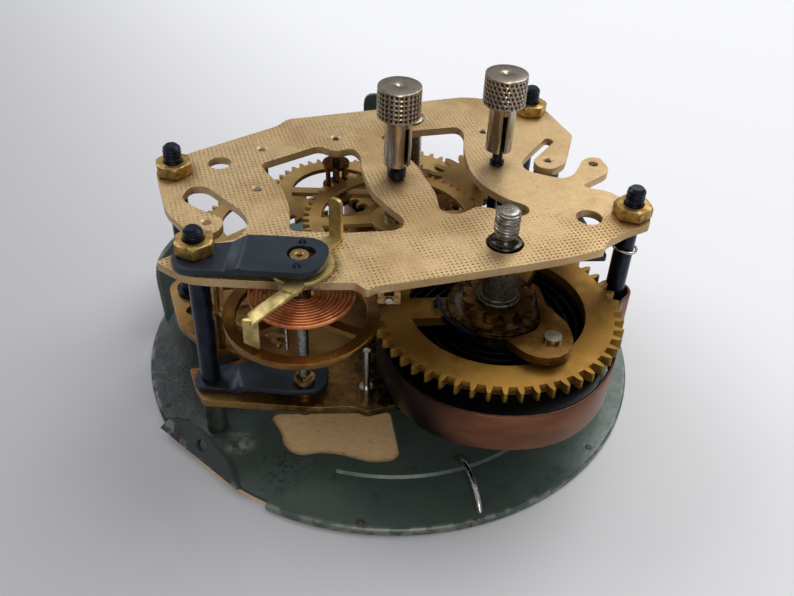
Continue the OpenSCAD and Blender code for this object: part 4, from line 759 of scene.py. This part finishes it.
class MOVEMENT_OT_stage(bpy.types.Operator):
    """Makes the paper floor with painted light on it, the soft lights and the sky"""
    bl_idname = "movement.stage"
    bl_label = "Stage"

    def execute(self, context):
        scene = context.scene
        scene.view_settings.view_transform = "Standard"
        floor = link("floor", surface("floor", [
            [(-900, -500, -0.02), (900, -500, -0.02)], [(-900, 1400, -0.02), (900, 1400, -0.02)]], False))
        floor.data.flip_normals()
        material, tree, shader = finish_tree("matt_white_paper")
        where = place(tree)
        split = put(tree, "ShaderNodeSeparateXYZ", {"Vector": where})
        # painted light: the paper is painted darker towards the left front and lighter towards the right rear
        slope = sums(tree, "ADD", split.outputs["X"], sums(tree, "MULTIPLY", split.outputs["Y"], 0.6))
        across = band(tree, slope, -0.065, 0.06)
        tint = blend_colours(tree, across, linear("#ACACAF"), colours().floor)
        tree.links.new(tint, shader.inputs["Base Color"])
        shader.inputs["Roughness"].default_value = 0.85
        shader.inputs["Specular IOR Level"].default_value = 0.2
        floor.data.materials.append(material)
        world = bpy.data.worlds.new("pale_room")
        scene.world = world
        world.use_nodes = True
        tree = world.node_tree
        tree.nodes.clear()
        up = put(tree, "ShaderNodeSeparateXYZ", {"Vector": place(tree)}).outputs["Z"]
        sky = blend_colours(tree, band(tree, up, -0.1, 0.9), linear("#9A9C9F"), linear("#E9EBEE"))
        ground = put(tree, "ShaderNodeBackground", {"Color": sky, "Strength": 0.56})
        put(tree, "ShaderNodeOutputWorld", {"Surface": ground.outputs[0]})
        for name, spot, size, power, tone in (
                ("window", (0.36, 0.34, 0.62), 0.70, 4.0, "#FFFFFF"),
                ("sky_left", (-0.44, 0.3, 0.46), 0.50, 1.8, "#F6F8FF"),
                ("front_fill", (0.05, -0.52, 0.36), 0.30, 0.85, "#FFF8F0")):
            data = bpy.data.lights.new(name, "AREA")
            data.shape = "RECTANGLE"
            data.size, data.size_y = size, size * 0.7
            data.energy = power
            data.color = linear(tone)
            lamp = bpy.data.objects.new(name, data)
            scene.collection.objects.link(lamp)
            lamp.location = spot
            lamp.rotation_euler = (Vector((0, 0, 0.015)) - Vector(spot)).to_track_quat("-Z", "Y").to_euler()
        return {"FINISHED"}


class MOVEMENT_OT_sheet_metal(bpy.types.Operator):
    """Rounds the edges of plates, bridges and wheels and gives them their brass and steel"""
    bl_idname = "movement.sheet_metal"
    bl_label = "Plates, bridges and wheels"

    def execute(self, context):
        # node, finish and edge rounding in mm
        for node, key, width in (
                ("back_plate", "back", 0.08), ("front_plate", "front", 0.08), ("upper_bridge", "black", 0.08),
                ("lower_bridge", "black", 0.08), ("regulator", "regulator", 0.16),
                ("great_wheel", "great", 0.07), ("centre_wheel", "wheel", 0.04),
                ("third_wheel", "wheel", 0.04), ("fourth_wheel", "wheel", 0.04),
                ("alarm_great_wheel", "wheel", 0.04), ("alarm_escape_wheel", "wheel", 0.04),
                ("ratchet_wheel", "ratchet", 0.1), ("click", "ratchet", 0.16),
                ("balance_wheel", "balance", 0.08), ("guide_block", "bush", 0.05),
                ("upper_balance_bush", "bush", 0.06), ("verge_bush", "black", 0.1),
                ("hammer", "black", 0.1), ("alarm_ratchet", "ratchet", 0.05),
                ("alarm_click", "ratchet", 0.08), ("dial_disc", "dial", 0.08), ("pallet_lever", "bush", 0.04)):
            softened(node, key, width)
        return {"FINISHED"}


class MOVEMENT_OT_solids(bpy.types.Operator):
    """Gives the solids that keep their own shape their finish"""
    bl_idname = "movement.solids"
    bl_label = "Arbors, pinions and small parts"

    def execute(self, context):
        keys = {
            "dial_card": "card", "wire_pin": "bright", "foot_posts": "foot", "pillars": "stud",
            "pillar_ring": "bright", "lower_balance_screw": "bush", "bridge_rivets": "stud",
            "hairspring_stud": "bush", "stop_pin": "bright", "guide_pin": "bright", "click_rivet": "bright",
            "click_spring": "stud", "centre_pinion": "steel", "hand_arbor": "stud", "cannon_pinion": "bush",
            "minute_wheel": "wheel", "minute_stud": "black", "hour_wheel": "wheel", "third_arbor": "black",
            "lantern_pinion": "lantern", "fourth_pinion": "steel", "escape_wheel": "dark wheel",
            "escape_pinion": "steel", "balance_staff": "steel", "impulse_pin": "bright",
            "hairspring_collet": "bush", "alarm_winding_arbor": "steel", "alarm_pinion": "black",
            "alarm_verge": "black", "alarm_setting_arbor": "stud", "alarm_wheel": "wheel",
        }
        for node, key in keys.items():
            solid = NODES[node]
            solid.data.materials.clear()
            solid.data.materials.append(finish(key))
        return {"FINISHED"}


class MOVEMENT_OT_nuts(bpy.types.Operator):
    """Makes the four chamfered pillar nuts"""
    bl_idname = "movement.nuts"
    bl_label = "Pillar nuts"

    def execute(self, context):
        low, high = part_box("pillar_nuts")
        flat, bore, tall = 3.9 / 2, 1.06, 1.5
        corner = flat / math.cos(math.radians(30))
        steps = 48

        def ring(radius, height, hexagon):
            row = []
            for k in range(steps):
                a = 2 * math.pi * k / steps
                reach = radius
                if hexagon:
                    reach = min(radius, flat / math.cos((a + math.pi / 6) % (math.pi / 3) - math.pi / 6))
                row.append((reach * math.cos(a), reach * math.sin(a), height))
            return row

        rows = [ring(bore, 0, False), ring(flat * 0.97, 0, False), ring(corner, 0.16, True),
                ring(corner, tall - 0.26, True), ring(flat * 1.07, tall - 0.1, True),
                ring(flat * 0.93, tall, False), ring(bore + 0.16, tall, False),
                ring(bore, tall - 0.14, False)]
        pattern = link("nut_pattern", surface("nut_pattern", rows + [rows[0]]))
        shade(pattern, 22)
        # the nut at the left front stands on the upper bridge, the others on the plate
        seats = (high[2] - tall * MM, low[2], low[2], low[2])
        spots = [Vector((*pillar, seat)) for pillar, seat in zip(PILLARS, seats)]
        nuts = grown("nuts_finished", spots, nut_tree(),
                     {"Nut": pattern, "Finish": finish("nut")}, turns=(8, 20, 35, 12))
        bpy.data.objects.remove(pattern)
        settle(nuts, "nut", "frame", "pillar_nuts")
        return {"FINISHED"}


class MOVEMENT_OT_threads(bpy.types.Operator):
    """Cuts the threads on the pillar studs and the winding arbors"""
    bl_idname = "movement.threads"
    bl_label = "Threads"

    def execute(self, context):
        tree = thread_tree()
        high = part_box("pillars")[1]
        pitch = sizes().stud_pitch
        start = high[2] / MM - 0.45 - 1.7
        studs = grown("stud_threads", [Vector((*pillar, start * MM)) for pillar in PILLARS], tree, {
            "Radius": 0.98 * MM, "Pitch": pitch * MM, "Length": 1.7 * MM, "Depth": 0.11 * MM,
            "Finish": finish("stud")})
        shade(studs, 60)
        settle(studs, "stud", "frame")
        pitch = sizes().winder_pitch
        for name, centre, body, key in (("time_thread", GREAT, "winder", "steel"),
                                        ("alarm_thread", ALARM, "alarm_winder", "steel")):
            thread = grown(name, [(centre[0], centre[1], 28.25 * MM)], tree, {
                "Radius": 1.28 * MM, "Pitch": pitch * MM, "Length": 2.5 * MM, "Depth": 0.13 * MM,
                "Finish": finish(key)})
            shade(thread, 60)
            settle(thread, key, body)
        return {"FINISHED"}


class MOVEMENT_OT_winding_arbor(bpy.types.Operator):
    """Turns the rough sleeve, its collars and the waisted neck of the time winding arbor"""
    bl_idname = "movement.winding_arbor"
    bl_label = "Winding arbor"

    def execute(self, context):
        low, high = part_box("winding_arbor")
        top = high[2] / MM
        arbor = turned("winding_arbor_finished", GREAT, [
            (1.1, low[2] / MM), (1.1, 8.6), (1.9, 8.6), (1.9, 10.8), (2.1, 10.8), (2.1, 15.8), (1.9, 15.8),
            (1.9, 19.28), (2.42, 19.3), (2.48, 19.4), (2.48, 19.62), (2.4, 19.72), (2.2, 19.74), (2.2, 20.0),
            (2.12, 20.1), (1.92, 20.12), (1.88, 21.2), (1.9, 22.5), (1.87, 24), (1.88, 25.05)], 72)
        shade(arbor, 30)
        settle(arbor, "sleeve", "winder", "winding_arbor")
        neck = turned("winding_arbor_neck", GREAT, [
            (1.9, 25.0), (1.92, 26.9), (1.84, 27.0), (1.5, 27.06), (1.22, 27.3), (1.1, 27.6)], 72)
        shade(neck, 30)
        settle(neck, "neck", "winder")
        stem = turned("winding_arbor_stem", GREAT, [
            (1.08, 27.55), (1.1, 27.9), (1.28, 28.1), (1.24, 28.2), (1.24, top - 0.32), (1.15, top - 0.05),
            (1.0, top), (0.45, top), (0.3, top - 0.16)], 72)
        shade(stem, 30)
        settle(stem, "steel", "winder")
        return {"FINISHED"}


class MOVEMENT_OT_knobs(bpy.types.Operator):
    """Turns the two setting knobs with their knurled heads and slit tubes"""
    bl_idname = "movement.knobs"
    bl_label = "Setting knobs"

    def execute(self, context):
        rows, columns, depth = sizes().knurl_rows, sizes().knurl_columns, sizes().knurl_depth
        knobs = (("hand_knob", Vector((0, 0, 0)), "hands"), ("alarm_knob", SETTING, "setting"))
        for node, centre, body in knobs:
            low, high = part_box(node)
            top, bottom = high[2] / MM - 0.001, high[2] / MM - 3.8
            radius = (high[0] - low[0]) / 2 / MM
            steps = columns * 6
            tall = top - bottom

            def pit(row_share, k, slant):
                """Depth of the pits: pyramids in straight or slanted rows."""
                u = abs((k / 6 + slant * row_share * rows / 2) % 1 - 0.5) * 2
                v = abs((row_share * rows) % 1 - 0.5) * 2
                return depth * max(0.0, 1 - max(u, v) * 1.12)

            slant = 0 if node == "hand_knob" else 1
            ends = 0.22
            profile = [(radius - 0.3, bottom, 0), (radius - 0.12, bottom + 0.04, 0),
                       (radius, bottom + 0.14, 0)]
            count = rows * 6
            for i in range(1, count):
                share = i / count
                profile.append((radius, bottom + ends + (tall - 2 * ends) * share, share))
            profile += [(radius, top - 0.14, 0), (radius - 0.05, top - 0.03, 0), (radius - 0.16, top, 0),
                        (1.2, top, 0), (0.42, top, 0), (0.28, top - 0.07, 0), (0.05, top - 0.14, 0)]
            grid, depths = [], []
            for r, z, share in profile:
                ring = []
                for k in range(steps):
                    a = 2 * math.pi * k / steps
                    sunk = pit(share, k, slant) if share else 0
                    depths.append(sunk / depth)
                    reach = r - sunk
                    x, y = reach * math.cos(a), reach * math.sin(a)
                    ring.append((centre[0] / MM + x, centre[1] / MM + y, z))
                grid.append(ring)
            head = link(node + "_head", surface(node + "_head", grid, caps=(True, True)))
            head.data.attributes.new("pit", "FLOAT", "POINT").data.foreach_set("value", depths)
            shade(head, 28)
            settle(head, "nickel", body)
            tube = self.tube(node, body, bottom)
            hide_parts(node)
        return {"FINISHED"}

    def tube(self, node, body, bottom):
        """The lower part of the solid, with its slot, kept below the head."""
        mesh, form = merged(node)
        cut = Vector((0, 0, (bottom + 0.02) * MM))
        geometry = form.verts[:] + form.edges[:] + form.faces[:]
        result = bmesh.ops.bisect_plane(
            form, geom=geometry, plane_co=cut, plane_no=(0, 0, 1), clear_outer=True)
        border = [e for e in result["geom_cut"] if isinstance(e, bmesh.types.BMEdge)]
        bmesh.ops.holes_fill(form, edges=border)
        piece = rounded(node + "_tube", mesh, form, 0.05, 40)
        settle(piece, "nickel", body)
        return piece


class MOVEMENT_OT_springs(bpy.types.Operator):
    """Winds the hairspring and the two mainsprings"""
    bl_idname = "movement.springs"
    bl_label = "Springs"

    def execute(self, context):
        tree = strip_tree()
        low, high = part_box("hairspring")
        start_r, end_r, turns = 1.2, 5.7, 10
        steps = turns * 64
        points = []
        for i in range(steps + 1):
            share = i / steps
            a = math.radians(31.5 - 20) + 2 * math.pi * turns * (share - 1)
            r = start_r + (end_r - start_r) * share
            points.append(BALANCE.xy + on_circle(a, r))
        for r, a in ((6.1, 16), (6.38, 24), (6.58, 29)):
            points.append(BALANCE.xy + on_circle(math.radians(a), r))
        self.strip("hairspring_finished", points, (low[2] + high[2]) / 2, sizes().hair_wire,
                   (high[2] - low[2]) / MM, tree, "copper", "hairspring")
        low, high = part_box("time_mainspring")
        self.strip("time_mainspring_finished", self.time_path(), (low[2] + high[2]) / 2, STRIP_THICKNESS,
                   (high[2] - low[2]) / MM, tree, "time spring", "time_mainspring")
        low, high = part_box("alarm_mainspring")
        self.strip("alarm_mainspring_finished", self.alarm_path(), (low[2] + high[2]) / 2, STRIP_THICKNESS,
                   (high[2] - low[2]) / MM, tree, "alarm spring", "alarm_mainspring")
        return {"FINISHED"}

    def time_path(self):
        """Its outer turn bulges to the front and runs out to the right pillar, where its end is bent round."""
        def ease(x):
            t = min(1, max(0, x))
            return t * t * (3 - 2 * t)

        points = []
        turns, inner, tight, bulge = 10, 2.625, 13.0, 1.7
        for i in range(turns * 64 - 2):
            s = i / 64
            left = turns - s
            r = (inner + (tight - inner) * s / (turns - 1)
                 + bulge * ease((0.475 - left) / 0.153) * ease((left - 0.05) / 0.172))
            a = math.radians(6 - 360 * left)
            points.append(GREAT.xy + on_circle(a, r))
        eye = [RIGHT_PILLAR + on_circle(math.radians(-45 + 11.25 * k), EYE_RADIUS) for k in range(21)]
        first, last = points[-1], eye[0]
        lead, pull = (RIGHT_PILLAR + Vector(v) * MM for v in ((-0.9, -5.7), (-0.3, -2.8)))
        for i in range(1, 16):
            t = i / 16
            points.append((1 - t) ** 3 * first + 3 * (1 - t) ** 2 * t * lead + 3 * (1 - t) * t * t * pull
                          + t ** 3 * last)
        return points + eye

    def alarm_path(self):
        """Winds the other way and ends round the right rear pillar."""
        points = []
        turns, inner, outer = 5, 2.625, 8.8
        steps = turns * 64
        for i in range(steps + 1):
            s = i / 64
            a = math.radians(76 - 360 * (s - turns))
            r = inner + (outer - inner) * s / turns
            points.append(ALARM.xy + on_circle(a, r))
        for k in range(19):
            points.append(RIGHT_REAR_PILLAR + on_circle(math.radians(78 - 11.25 * k), EYE_RADIUS))
        return points

    def strip(self, name, points, height, thickness, width, tree, key, node):
        path = [(p[0], p[1], height) for p in points]
        edges = [(i, i + 1) for i in range(len(path) - 1)]
        piece = grown(name, path, tree, {
            "Thickness": thickness * MM, "Width": width * MM, "Finish": finish(key)}, edges)
        shade(piece, 50)
        settle(piece, key, BODY_OF[node], node)


class MOVEMENT_OT_oil(bpy.types.Operator):
    """Adds the thick old oil between the ratchet wheel and the great wheel"""
    bl_idname = "movement.oil"
    bl_label = "Old oil"

    def execute(self, context):
        rows = []
        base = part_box("great_wheel")[1][2] / MM
        for r, z in ((2.1, 0.0), (3.4, 0.02), (4.4, 0.03), (4.9, 0.0)):
            ring = []
            for k in range(72):
                a = 2 * math.pi * k / 72
                wave = 1 + 0.02 * math.sin(3 * a + 1) + 0.015 * math.sin(7 * a)
                ring.append((GREAT[0] / MM + r * wave * math.cos(a), GREAT[1] / MM + r * wave * math.sin(a),
                             base + z + 0.005))
            rows.append(ring)
        oil = link("old_oil_film", surface("old_oil_film", rows))
        shade(oil, 60)
        settle(oil, "oil", "great")
        return {"FINISHED"}


class MOVEMENT_PT_panel(bpy.types.Panel):
    """Lists the pieces of the movement in the order they are made"""
    bl_idname = "MOVEMENT_PT_panel"
    bl_label = "Clock movement"
    bl_space_type = "VIEW_3D"
    bl_region_type = "UI"
    bl_category = "Clock movement"

    def draw(self, context):
        for group in (context.scene.movement_sizes, context.scene.movement_colours):
            for key in group.__annotations__:
                self.layout.prop(group, key)
        for step in STEPS:
            self.layout.operator(step.bl_idname)


STEPS = (MOVEMENT_OT_camera, MOVEMENT_OT_stage, MOVEMENT_OT_sheet_metal, MOVEMENT_OT_solids, MOVEMENT_OT_nuts,
         MOVEMENT_OT_threads, MOVEMENT_OT_winding_arbor, MOVEMENT_OT_knobs, MOVEMENT_OT_springs,
         MOVEMENT_OT_oil)
CLASSES = (MovementSizes, MovementColours) + STEPS + (MOVEMENT_PT_panel,)


def register():
    for item in CLASSES:
        bpy.utils.register_class(item)
    bpy.types.Scene.movement_sizes = bpy.props.PointerProperty(type=MovementSizes)
    bpy.types.Scene.movement_colours = bpy.props.PointerProperty(type=MovementColours)


def unregister():
    del bpy.types.Scene.movement_colours
    del bpy.types.Scene.movement_sizes
    for item in reversed(CLASSES):
        bpy.utils.unregister_class(item)


def main():
    register()
    for step in STEPS:
        group, name = step.bl_idname.split(".")
        getattr(getattr(bpy.ops, group), name)()


if __name__ == "__main__":
    main()
